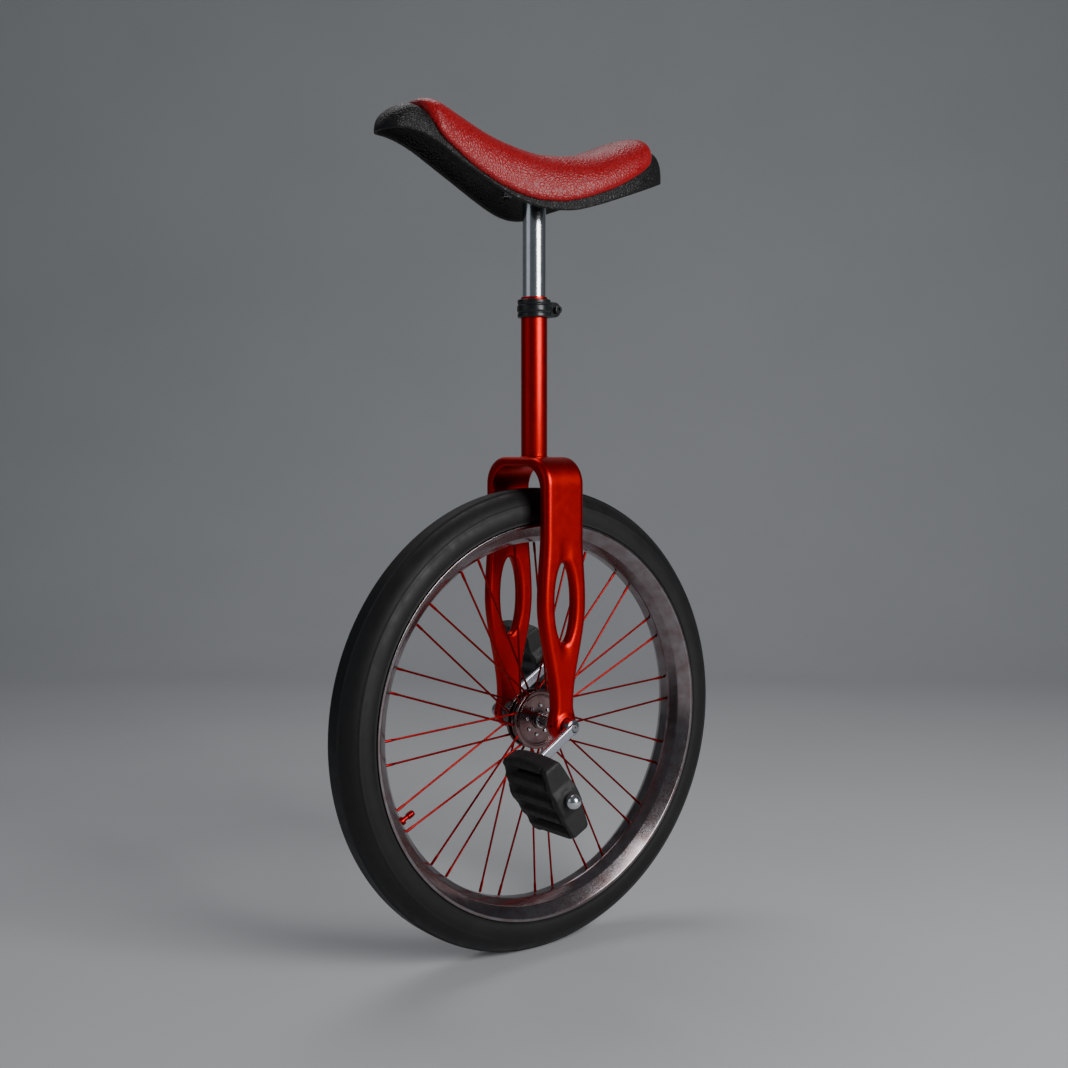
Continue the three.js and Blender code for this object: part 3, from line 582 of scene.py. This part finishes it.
def hub():
    """The hub shell with grooved flanges, and round-headed studs in each recessed face."""
    outer = FLANGE_Y + 1.9
    half = [
        (AXLE_SLEEVE_R + 0.3, HUB_HALF_WIDTH, 0.3), (9.3, HUB_HALF_WIDTH, 0.8), (9.6, outer - 1.4, 0.5),
        (26.2, outer - 1.4, 0.3), (26.6, outer - 0.1, 0.3), (27.4, outer - 0.1, 0.2),
        (27.7, outer - 0.8, 0.2), (28.5, outer - 0.8, 0.2), (28.8, outer, 0.2),
        (FLANGE_R - 0.4, outer, 0.8), (FLANGE_R, FLANGE_Y, 0.8), (FLANGE_R - 0.4, FLANGE_Y - 1.9, 0.8),
        (28.4, FLANGE_Y - 1.9, 2.2), (27, 3.6, 1),
    ]
    back = [(r, -y, c) for r, y, c in reversed(half)]
    shapes = [turned(arced([*half, *back], 5), 128)]
    # Known fault: the corner at (2.0, 0.5) is in line with its neighbours, so arced() gives NaN there
    # and the studs come out broken. Taking that corner out repairs them.
    stud = arced([(0, -2, 0), (2.0, -2, 0.2), (2.0, 0.5, 0.1), (2.0, 1.5, 1.1), (0, 2.0, 0)], 8, closed=False)
    for side in (LEFT, RIGHT):
        for k in range(8):
            x, _, z = at_angle(16, 10 + 45 * k, 0)
            points, faces = turned(stud, 20)
            shapes.append(moved(outward(points * [1, side, 1], faces), x, side * (outer - 1.4), z))
    body = make("hub_body", shapes, HUB_CHROME_SHADE_AND_RED_REFLECTION, "wheel", ["hub_shell"])
    # The studs keep the bright chrome against the hub's painted shade and reflection.
    body.data.materials.append(CHROME)
    for face in body.data.polygons[len(shapes[0][1]):]:
        face.material_index = 1


def axle():
    """The axle's polished sleeve with a collar beside the hub and a shoulder at each bearing."""
    half = [
        (0, AXLE_HALF_LENGTH, 0), (6, AXLE_HALF_LENGTH, 0.6), (6, 40, 0.1), (AXLE_SLEEVE_R, 40, 0.8),
        (AXLE_SLEEVE_R, 15, 0.6), (AXLE_SLEEVE_R + 0.9, 14.5, 0.4), (AXLE_SLEEVE_R + 0.9, 11.5, 0.4),
        (AXLE_SLEEVE_R, 11, 0.4),
    ]
    profile = arced([*half, *[(r, -y, c) for r, y, c in reversed(half)]], 5, closed=False)
    make("axle_bar", [turned(profile, 64)], CHROME, "wheel", ["axle"])


# ------------------------------------------------------------------ frame
SLOT_Z = 133
SLOT_HALF = (13, 43)
WIDE_HALF = extent("frame")[1][0]
CROWN_HALF, SHANK_HALF = 26.2, 13.4
FOOT_R = 16
FOOT_HOLE_R = 8
BEARING_R = 12


def leg_half_width(z):
    """Half the leg's width along X at a height over the axle."""
    upper = WIDE_HALF + (CROWN_HALF - WIDE_HALF) * ease((z - SLOT_Z) / 72)
    lower = SHANK_HALF + (WIDE_HALF - SHANK_HALF) * ease((z - 22) / (SLOT_Z - 22))
    return np.where(z > SLOT_Z, upper, lower)


def round_corner(y, z, half, top, radius):
    """The inside of an arch seen from the front: two upright sides under a flat top."""
    a, b = np.abs(y) - (half - radius), z - (top - radius)
    return np.hypot(np.maximum(a, 0), np.maximum(b, 0)) + np.minimum(np.maximum(a, b), 0) - radius


def fork_field(p):
    x, y, z = p.T
    ellipse = np.hypot(x / SLOT_HALF[0], (z - SLOT_Z) / SLOT_HALF[1])
    from_slot = np.abs(z - SLOT_Z) - SLOT_HALF[1]
    reach = np.where(z > SLOT_Z, 30, 22)
    ramp = 1.3 * ease((10 - np.abs(x)) / 9) * ease(1 - from_slot / reach) * ease((from_slot + 14) / 10)
    swell = LEG_SWELL * ease((z - 60) / 50) * ease((215 - z) / 50)
    outer = round_corner(y, z, LEG_OUTER_Y, CROWN_TOP, 30) + ramp
    inner = round_corner(y, z, LEG_OUTER_Y - 2 * LEG_HALF_THICKNESS - swell, CROWN_TOP - 10, 26)
    shank = both(np.abs(x) - leg_half_width(z), -z, 2)
    outline = either(shank, np.hypot(x, z) - FOOT_R, 7)
    body = both(both(outer, outline, 6.6), -inner, 2.6)
    slot = (ellipse - 1) * ellipse / np.hypot(x / SLOT_HALF[0] ** 2, (z - SLOT_Z) / SLOT_HALF[1] ** 2)
    body = both(body, -slot, 5.8)
    stub = disc_field(x, y, z, SEAT_TUBE_R - 0.3, CROWN_TOP - 6, CROWN_TOP + 1.7, 0.3)
    body = either(body, stub, 2.2)
    from_axle = np.hypot(x, z)
    pad = both(from_axle - FOOT_R + 2.2, np.abs(np.abs(y) - LEG_OUTER_Y) - 1.1, 0.8)
    body = either(body, pad, 1.2)
    lip = both(np.abs(from_axle - FOOT_HOLE_R - 1.5) - 1.4, np.abs(np.abs(y) - LEG_OUTER_Y - 1.1) - 0.9, 0.8)
    body = either(body, lip, 0.6)
    screw = both(np.hypot(y - np.sign(y) * LEG_Y, z - 1) - 1.8, FOOT_R - 3.5 - x)
    body = both(body, -screw, 0.4)
    pocket = both(from_axle - BEARING_R - 0.3, np.abs(y) - LEG_Y - 3.3)
    return both(both(body, -pocket, 0.4), FOOT_HOLE_R - from_axle, 0.6)


def fork_and_tube():
    step = 1.5
    low = [-WIDE_HALF - 1, -LEG_OUTER_Y - 3, -FOOT_R - 1]
    high = [WIDE_HALF + 1, LEG_OUTER_Y + 3, CROWN_TOP + 8]
    fork = skin(fork_field, low, high, step)
    bore = POST_R + 0.25
    tube = arced([
        (bore, CROWN_TOP + 1.4, 0.3), (SEAT_TUBE_R, CROWN_TOP + 1.4, 0.5), (SEAT_TUBE_R, SEAT_TUBE_TOP, 0.5),
        (bore, SEAT_TUBE_TOP, 0.4),
    ], 5)
    shapes = [fork, upright(turned(tube, 96))]
    make("frame_body", shapes, FRAME_RED, "frame", ["frame"], 60)


def bearings():
    for side, name in ((LEFT, "left"), (RIGHT, "right")):
        race = arced([
            (6.3, 46, 0.3), (8, 46, 0.3), (8.3, 46.4, 0.1), (10, 46.4, 0.1), (10.3, 46, 0.3), (12, 46, 0.3),
            (12, 52, 0.3), (6.3, 52, 0.3),
        ], 4)
        points, faces = turned(race, 64)
        shape = outward(points * [1, side, 1], faces)
        make(f"bearing_race_{name}", [shape], STEEL, "frame", [f"bearing_{name}"])


def collar_field(p):
    x, y, z = p.T
    middle = (COLLAR_TOP + COLLAR_BOTTOM) / 2
    h = z - middle
    ring_r = COLLAR_R - 1.3 * np.exp(-((np.abs(h) - 4.4) / 1.1) ** 2) - 0.5 * ease((np.abs(h) - 5.2) / 1)
    half = (COLLAR_TOP - COLLAR_BOTTOM) / 2
    ring = both(np.hypot(x, y) - ring_r, np.abs(h) - half, 1.2)
    ears = both(
        both(np.hypot(np.maximum(-x - COLLAR_R - 6, 0), h * 0.95) - 7.8, x + 8),
        np.abs(y) - 6.5, 1.2,
    )
    body = either(ring, ears, 1.5)
    slit = both(np.abs(y) - 1.1, x)
    bolt_hole = np.hypot(x + COLLAR_R + 7, h) - 2.8
    body = both(both(body, -slit, 0.4), -bolt_hole, 0.3)
    return both(body, SEAT_TUBE_R + 0.25 - np.hypot(x, y), 0.4)


def collar():
    low = [-COLLAR_R - 15, -COLLAR_R - 0.5, COLLAR_BOTTOM - 0.5]
    high = [COLLAR_R + 0.5, COLLAR_R + 0.5, COLLAR_TOP + 0.5]
    make("collar_ring", [skin(collar_field, low, high, 0.6)], BLACK_ALLOY, "frame", ["seat_collar"],
         60)
    bolt = arced([
        (0, -8.2, 0), (2.3, -8.2, 0.5), (2.5, -7, 0.2), (2.5, 6.7, 0.1), (4.4, 6.7, 0.4), (4.4, 11.3, 0.7),
        (1.9, 11.3, 0.2), (1.7, 9, 0.1), (0, 9, 0),
    ], 4, closed=False)
    middle = (COLLAR_TOP + COLLAR_BOTTOM) / 2
    make("collar_screw", [moved(turned(bolt, 40), -COLLAR_R - 7, 0, middle)], BLACK_ALLOY, "frame",
         ["collar_bolt"])


# ------------------------------------------------------------------ seat
SADDLE_FRONT, SADDLE_REAR = 197, -158
PAD_FRONT, PAD_REAR = 161, -137
SHELL_WALL = 4
PAD_OVERHANG = 6
PAD_SWELL = 2.5
SWELL_FRAMES = 20
SWELL_PRESSURE = 6
SWELL_EVENING = 12  # rounds of averaging between neighbours
SWELL_SOFTNESS = 15
SWELL_LEAST, SWELL_USUAL = 0.6, 0.8  # shares of the room
SEAM_WIDTH = 6  # over which the room grows from nothing
ARCH_ACROSS, ARCH_UP, ARCH_MEAN = 2 / 0.75, 2 / 0.7, 2.75  # how square the arch of the saddle is
STUDS = [(x * 26, y * 15) for x in (1, -1) for y in (1, -1)]
half_width = smooth([(-158, 28), (-144, 44), (-100, 58), (-50, 58), (-10, 50), (45, 34), (100, 28), (160, 27),
                     (185, 23), (197, 11)])
skirt_bottom = smooth([(-158, 597), (-120, 584), (-71, 567), (-44, 557.8), (-14, 550), (19, 550.5), (52, 560),
                       (106, 585.8), (141, 604), (160, 611), (176, 614), (197, 613.5)])
shell_top = smooth([(-158, 624), (-143, 635), (-105, 620), (-50, 595), (0, 584), (60, 597), (125, 628),
                    (163, 643), (180, 639), (197, 624)])
pad_top = smooth([(-137, 634), (-120, 643.5), (-90, 633), (-45, 617), (5, 612), (40, 617.5), (75, 627),
                  (110, 641), (135, 650.5), (150, 651.5), (161, 647)])
pad_bottom = smooth([(-137, 627), (-112, 603), (-90, 588.5), (-55, 571.5), (-10, 557.5), (28, 557),
                     (50, 562.5), (74, 571.5), (98, 583.5), (121, 597.5), (143, 613.5), (161, 637)])


def arch(y, z, wide, bottom, top):
    """The field of an arch over a flat bottom, across the saddle."""
    rise = np.maximum(top - bottom, 4)
    q = (np.abs(y) / wide) ** ARCH_ACROSS + (np.maximum(z - bottom, 0) / rise) ** ARCH_UP
    return (q ** (1 / ARCH_MEAN) - 1) * np.minimum(wide, rise)


def shell_field(p):
    x, y, z = p.T
    wide, bottom, top = half_width(x), skirt_bottom(x), shell_top(x)
    middle = (SADDLE_FRONT + SADDLE_REAR) / 2
    ends = np.abs(x - middle) - (SADDLE_FRONT - middle)
    outside = both(arch(y, z, wide, bottom, top), ends, 9)
    hollow = both(arch(y, z, wide - SHELL_WALL, bottom - 8, top - SHELL_WALL), ends + SHELL_WALL, 7)
    shell = both(both(outside, -hollow, 1.0), (bottom - z) * 0.9, 1.2)
    for stud_x, stud_y in STUDS:
        around = np.hypot(x - stud_x, y - stud_y)
        pillar = both(around - 6, np.maximum(POST_TOP - z, z - top + 2), 0.6)
        stud = both(around - 3, np.maximum(POST_TOP - 13 - z, z - POST_TOP - 4), 0.6)
        shell = either(either(shell, pillar, 1.5), stud)
    return shell


def saddle_shell():
    low = [SADDLE_REAR - 1, -60, 546]
    high = [SADDLE_FRONT + 1, 60, 647]
    make("saddle_base", [skin(shell_field, low, high, 1.6)], SHELL_BLACK, "seat", ["saddle_shell"],
         60)


def pad_field(p):
    """The pad before its foam swells, a little inside its final skin."""
    x, y, z = p.T
    grow = -PAD_SWELL
    wide, bottom, top = half_width(x) + PAD_OVERHANG + grow, pad_bottom(x) - grow * 0.5, pad_top(x) + grow
    middle = (PAD_FRONT + PAD_REAR) / 2
    ends = np.abs(x - middle) - (PAD_FRONT - middle) - grow
    end = np.clip(-ends / 22, 0.02, 1)
    outside = both(arch(y, z, wide * np.sqrt(end * (2 - end)), bottom, top), ends, 7)
    return both(both(outside, (bottom - z) * 0.9, 5), -over_shell(p), 1.0)


def over_shell(p):
    """The space under the pad, which the shell fills."""
    x, y, z = p.T
    return arch(y, z, half_width(x) - 1.8, skirt_bottom(x), shell_top(x) - 1.8)


def swollen(points, faces, room):
    """Blows up a closed form as cloth that is glued down where it has no room in millimetres.

    Each point moves out along its normal by most of its room, or by all of it where the cloth bulges.
    """
    mesh = bpy.data.meshes.new("swelling")
    mesh.from_pydata((points * MM).tolist(), [], faces)
    mesh.update()
    out = np.array([vertex.normal[:] for vertex in mesh.vertices])
    cover = bpy.data.objects.new("swelling", mesh)
    scene = bpy.context.scene
    scene.collection.objects.link(cover)
    glued = cover.vertex_groups.new(name="glued")
    glued.add(np.flatnonzero(room == 0).tolist(), 1.0, "REPLACE")
    cloth = cover.modifiers.new("cloth", "CLOTH")
    cloth.settings.vertex_group_mass = "glued"
    cloth.settings.use_pressure = True
    cloth.settings.uniform_pressure_force = SWELL_PRESSURE
    cloth.settings.effector_weights.gravity = 0
    cloth.settings.quality = 6
    for step in range(1, SWELL_FRAMES + 1):
        scene.frame_set(step)
    shape = cover.evaluated_get(bpy.context.evaluated_depsgraph_get()).data
    travel = np.array([vertex.co[:] for vertex in shape.vertices]) / MM - points
    scene.frame_set(1)
    bpy.data.objects.remove(cover)
    rise = (travel * out).sum(1)
    sides = np.array([(face[i], face[i - 1]) for face in faces for i in range(4)])
    count = np.bincount(sides[:, 0], minlength=len(points))
    for _ in range(SWELL_EVENING):
        total = np.bincount(sides[:, 0], rise[sides[:, 1]], len(points))
        rise = (rise + total / count) / 2
    share = np.clip(SWELL_USUAL + rise / SWELL_SOFTNESS, SWELL_LEAST, 1)
    return points + out * (share * room)[:, None]


def saddle_pad():
    low = [PAD_REAR - 1, -66, 550]
    high = [PAD_FRONT + 1, 66, 655]
    points, faces = skin(pad_field, low, high, 3)
    room = PAD_SWELL * ease((over_shell(points) - 1) / SEAM_WIDTH)
    points = swollen(points, faces, room)
    pad = make("saddle_cushion", [(points, faces)], PAD_RED, "seat", ["saddle_pad"], 80)
    finer = pad.modifiers.new("finer", "SUBSURF")
    finer.levels = finer.render_levels = 1


def plate_field(p):
    x, y, z = p.T
    plate = box_field(p, (0, 0, POST_TOP - 2), (34, 22, 2), 1.2)
    corner = both(plate, np.abs(x) + np.abs(y) - 48, 2)
    neck = disc_field(x, y, z, POST_R + 1.2, POST_TOP - 10, POST_TOP - 2, 1)
    body = either(corner, neck, 2)
    for stud_x, stud_y in STUDS:
        body = both(body, 3.4 - np.hypot(x - stud_x, y - stud_y), 0.4)
    return body


def seatpost():
    post = arced([
        (POST_R - 2.2, POST_BOTTOM, 0.4), (POST_R, POST_BOTTOM, 0.8), (POST_R, POST_TOP - 3, 0.2),
        (POST_R - 2.2, POST_TOP - 3, 0.2),
    ], 5)
    plate = skin(plate_field, [-35, -23, POST_TOP - 11], [35, 23, POST_TOP + 1], 0.9)
    make("seatpost_tube", [upright(turned(post, 96)), plate], CHROME, "seat", ["seatpost"], 45)


def saddle_nuts():
    under = POST_TOP - 4.3
    for number, (x, y) in enumerate(STUDS, 1):
        def nut_field(p):
            a, b, h = p[:, 0], p[:, 1], p[:, 2]
            sides = np.max([
                a * math.cos(turn) + b * math.sin(turn) for turn in np.arange(6) * math.pi / 3
            ], axis=0) - 5.1
            body = both(both(sides, np.hypot(a, b) - 5.7, 0.1), np.abs(h) - 2.4, 0.5)
            return both(body, 3.2 - np.hypot(a, b), 0.3)
        # The nuts take the darkened steel, a painted shade under the saddle.
        shape = moved(skin(nut_field, [-6, -6, -3], [6, 6, 3], 0.5), x, y, under - 2.6)
        make(f"stud_nut_{number}", [shape], STEEL, "seat", [f"saddle_nut_{number}"], 45)


# ------------------------------------------------------------------ drive
CRANK_INNER_Y = 63
CRANK_BOSS_Y = 58.5
CRANK_HALF = 5.5


def along_crank(p, side):
    """Points as (along the crank from the axle, outward, across)."""
    end = Vector(pedal_axis(side)).normalized()
    x, y, z = p.T
    return x * end[0] + z * end[1], side * y, -x * end[1] + z * end[0]


def crank(side, name):
    length = Vector(pedal_axis(side)).length

    def field(p):
        s, t, c = along_crank(p, side)
        middle = (CRANK_OUTER_Y + CRANK_INNER_Y) / 2
        half_depth = (CRANK_OUTER_Y - CRANK_INNER_Y) / 2
        beyond = s - np.clip(s, 0, length)
        eye = CRANK_HALF + 1.4 * ease((s - length + 12) / 12)
        bar = both(np.hypot(beyond, c) - eye, np.abs(t - middle) - half_depth, 1.8)
        boss = disc_field(s, c, t, 8.5, CRANK_BOSS_Y, CRANK_OUTER_Y - 3, 1.2)
        body = either(bar, boss, 1.2)
        bolt = both(np.hypot(s, c) - 4.3, CRANK_OUTER_Y - 3 - t)
        spindle = np.hypot(s - length, c) - 4.3
        return both(both(body, -bolt, 0.3), -spindle, 0.4)

    x, z = pedal_axis(side)
    reach = 10
    ys = sorted((side * CRANK_BOSS_Y, side * CRANK_OUTER_Y))
    low = [min(0, x) - reach, ys[0] - 0.6, min(0, z) - reach]
    high = [max(0, x) + reach, ys[1] + 0.6, max(0, z) + reach]
    shape = skin(field, low, high, 0.75)
    make(f"crank_arm_{name}", [shape], CRANK_ALLOY_SKY_REFLECTION, "wheel", [f"crank_{name}"], 60)
    screw = arced([
        (0, 50, 0), (2.4, 50, 0.4), (2.4, CRANK_OUTER_Y - 2.6, 0.1), (4, CRANK_OUTER_Y - 2.6, 0.2),
        (4, CRANK_OUTER_Y - 0.2, 0.5), (1.6, CRANK_OUTER_Y - 0.2, 0.2), (1.4, CRANK_OUTER_Y - 1.6, 0.1),
        (0, CRANK_OUTER_Y - 1.6, 0),
    ], 4, closed=False)
    points, faces = turned(screw, 40)
    make(f"crank_screw_{name}", [outward(points * [1, side, 1], faces)], STEEL, "wheel",
         [f"crank_bolt_{name}"])


def pedal_spindle(side, name):
    x, z = pedal_axis(side)
    profile = arced([
        (0, 62, 0), (3.9, 62, 0.4), (3.9, 72, 0.2), (7, 72, 0.6), (7, 75, 0.6), (5, 75.5, 0.4), (5, 150, 0.4),
        (0, 150, 0),
    ], 5, closed=False)
    points, faces = turned(profile, 48)
    shape = moved(outward(points * [1, side, 1], faces), x, 0, z)
    make(f"pedal_shaft_{name}", [shape], STEEL, "wheel", [f"pedal_spindle_{name}"])


PEDAL_LOBE = 20.5  # spacing of the tread's rounded bars
PEDAL_REAR_BOW = 15.5  # the rear edge bows most, towards the crank


def pedal_field(p):
    """A pedal about its own axis: u along its length, v from its middle outwards, w through it."""
    u, v, w = p.T
    half_v = (PEDAL_OUTER_Y - PEDAL_INNER_Y) / 2
    tread_v = half_v - 10.5
    valley = 1 - ease((0.5 + 0.5 * np.cos(2 * math.pi * u / PEDAL_LOBE)) * 1.2)
    front_bow = 8 * (1 - (v / half_v) ** 2)
    rear_bow = PEDAL_REAR_BOW * (1 - ((v + 9) / (half_v + 9)) ** 2)
    half_u = 38.5 + np.where(u < 0, rear_bow, front_bow)
    half_w = 15 - np.where(u < 0, 4.4, 5.4) * (np.abs(u) / 43) ** 1.6
    plate_v = half_v - 3.4 * ease((np.abs(u) - 8) / 9)
    blank = both(both(np.abs(u) - half_u, np.abs(w) - half_w - 0.6, 4.5), np.abs(v) - plate_v, 2.4)
    inside = ease((tread_v + 4 - np.abs(v)) / 7)
    inner_end = ease((-v - tread_v) / 4)
    sink = (1.6 * inner_end + 5.6 * inside) * valley
    body = both(blank, (np.abs(w) - half_w + sink) * 0.72, 1.2)
    window = both(np.abs(np.abs(u) - PEDAL_LOBE * 1.5) - 2.6, np.abs(v) - tread_v + 8)
    body = both(body, -window, 1.0)
    groove = both(np.abs(v - tread_v + 1) - 0.9, half_w - 3.2 - np.abs(w))
    body = both(body, -groove, 0.6)
    ridge = both(np.abs(v - tread_v - 2.6) - 0.5, half_w - 0.7 - np.abs(w))
    body = both(body, -ridge, 0.3)
    barrel = both(np.hypot(u, w) - 10.4, np.abs(v) - half_v, 1.6)
    body = either(body, barrel, 2.4)
    return both(body, 5.6 - np.hypot(u, w), 0.3)


def pedal(side, name):
    half_v = (PEDAL_OUTER_Y - PEDAL_INNER_Y) / 2
    points, faces = skin(pedal_field, [-57, -half_v - 0.5, -16], [48, half_v + 0.5, 16], 1.0)
    a = math.radians(PEDAL_TILT)
    u, v, w = points.T
    x, z = pedal_axis(side)
    turned_points = np.stack([
        x + u * math.cos(a) - w * math.sin(a),
        side * (v + PEDAL_INNER_Y + half_v),
        z + u * math.sin(a) + w * math.cos(a),
    ], 1)
    shape = outward(turned_points, faces)
    make(f"pedal_block_{name}", [shape], PEDAL_BLACK, f"{name}_pedal", [f"pedal_body_{name}"],
         50)


def pedal_ball(side, name):
    x, z = pedal_axis(side)
    start = math.asin((PEDAL_OUTER_Y + 0.3 - PEDAL_BALL_Y) / PEDAL_BALL_R)
    arc = [
        (PEDAL_BALL_R * math.cos(a), PEDAL_BALL_Y + PEDAL_BALL_R * math.sin(a))
        for a in np.linspace(start, math.pi / 2, 24)
    ]
    profile = [(0, PEDAL_OUTER_Y + 0.3), *arc[:-1], (0, arc[-1][1])]
    points, faces = turned(profile, 48)
    shape = moved(outward(points * [1, side, 1], faces), x, 0, z)
    make(f"pedal_cap_{name}", [shape], CHROME, f"{name}_pedal", [f"pedal_ball_{name}"], 60)


# ------------------------------------------------------------------ surroundings
def studio():
    floor_size, wall_back, bend = 9.0, 3.2, 1.4
    points, faces = [], []
    heading = math.radians(CAMERA_HEADING)
    ahead = np.array([-math.sin(heading), math.cos(heading), 0])
    across = np.array([ahead[1], -ahead[0], 0])
    curve = [(-floor_size, 0)] + [(wall_back - bend, 0)]
    for a in np.linspace(0.05, 1.57, 24):
        curve.append((wall_back - bend + bend * math.sin(a), bend - bend * math.cos(a)))
    curve += [(wall_back, 7.0)]
    for s, z in curve:
        for side in (-1, 1):
            points.append(ahead * s + across * side * floor_size + np.array([0, 0, z]))
    for i in range(len(curve) - 1):
        faces.append((2 * i, 2 * i + 1, 2 * i + 3, 2 * i + 2))
    mesh = bpy.data.meshes.new("backdrop")
    mesh.from_pydata([tuple(point) for point in points], [], faces)
    mesh.shade_smooth()
    backdrop = bpy.data.objects.new("backdrop", mesh)
    bpy.context.scene.collection.objects.link(backdrop)
    nodes = Nodes("pale_paper")
    nodes.colours(nodes.ramp(nodes.noise(3, 4), 0.3, 0.7), (0.54, 0.55, 0.56), (0.56, 0.57, 0.58))
    nodes.rough(nodes.noise(40, 3), 0.75, 0.85)
    mesh.materials.append(nodes.material)


def softbox(name, place, target, size, power, colour=(1, 1, 1)):
    light = bpy.data.lights.new(name, "AREA")
    light.shape = "RECTANGLE"
    light.size, light.size_y = size
    light.energy = power
    light.color = colour
    lamp = bpy.data.objects.new(name, light)
    bpy.context.scene.collection.objects.link(lamp)
    lamp.location = place
    lamp.rotation_euler = (Vector(target) - Vector(place)).to_track_quat("-Z", "Y").to_euler()


def lights():
    world = bpy.data.worlds.new("studio_air")
    bpy.context.scene.world = world
    world.use_nodes = True
    world.node_tree.nodes["Background"].inputs["Color"].default_value = (0.28, 0.31, 0.34, 1)
    world.node_tree.nodes["Background"].inputs["Strength"].default_value = 0.30
    softbox("key", (-0.30, 2.1, 1.25), (0, 0, 0.42), (1.15, 1.5), 48)
    softbox("fill", (2.4, -0.4, 1.1), (0, 0, 0.4), (1.6, 1.8), 3.5, (0.86, 0.93, 1.0))
    softbox("top", (-0.2, -0.9, 2.3), (0, 0, 0.5), (1.4, 1.0), 11, (1.0, 0.97, 0.99))


# ------------------------------------------------------------------ the whole
tyre()
rim()
valve()
spokes()
hub()
axle()
fork_and_tube()
bearings()
collar()
saddle_shell()
saddle_pad()
seatpost()
saddle_nuts()
for pedal_side, side_name in ((LEFT, "left"), (RIGHT, "right")):
    crank(pedal_side, side_name)
    pedal_spindle(pedal_side, side_name)
    pedal(pedal_side, side_name)
    pedal_ball(pedal_side, side_name)

inner_tube = frame["nodes"]["inner_tube"]
inner_tube.data.materials.clear()
inner_tube.data.materials.append(TUBE_RUBBER)

studio()
lights()
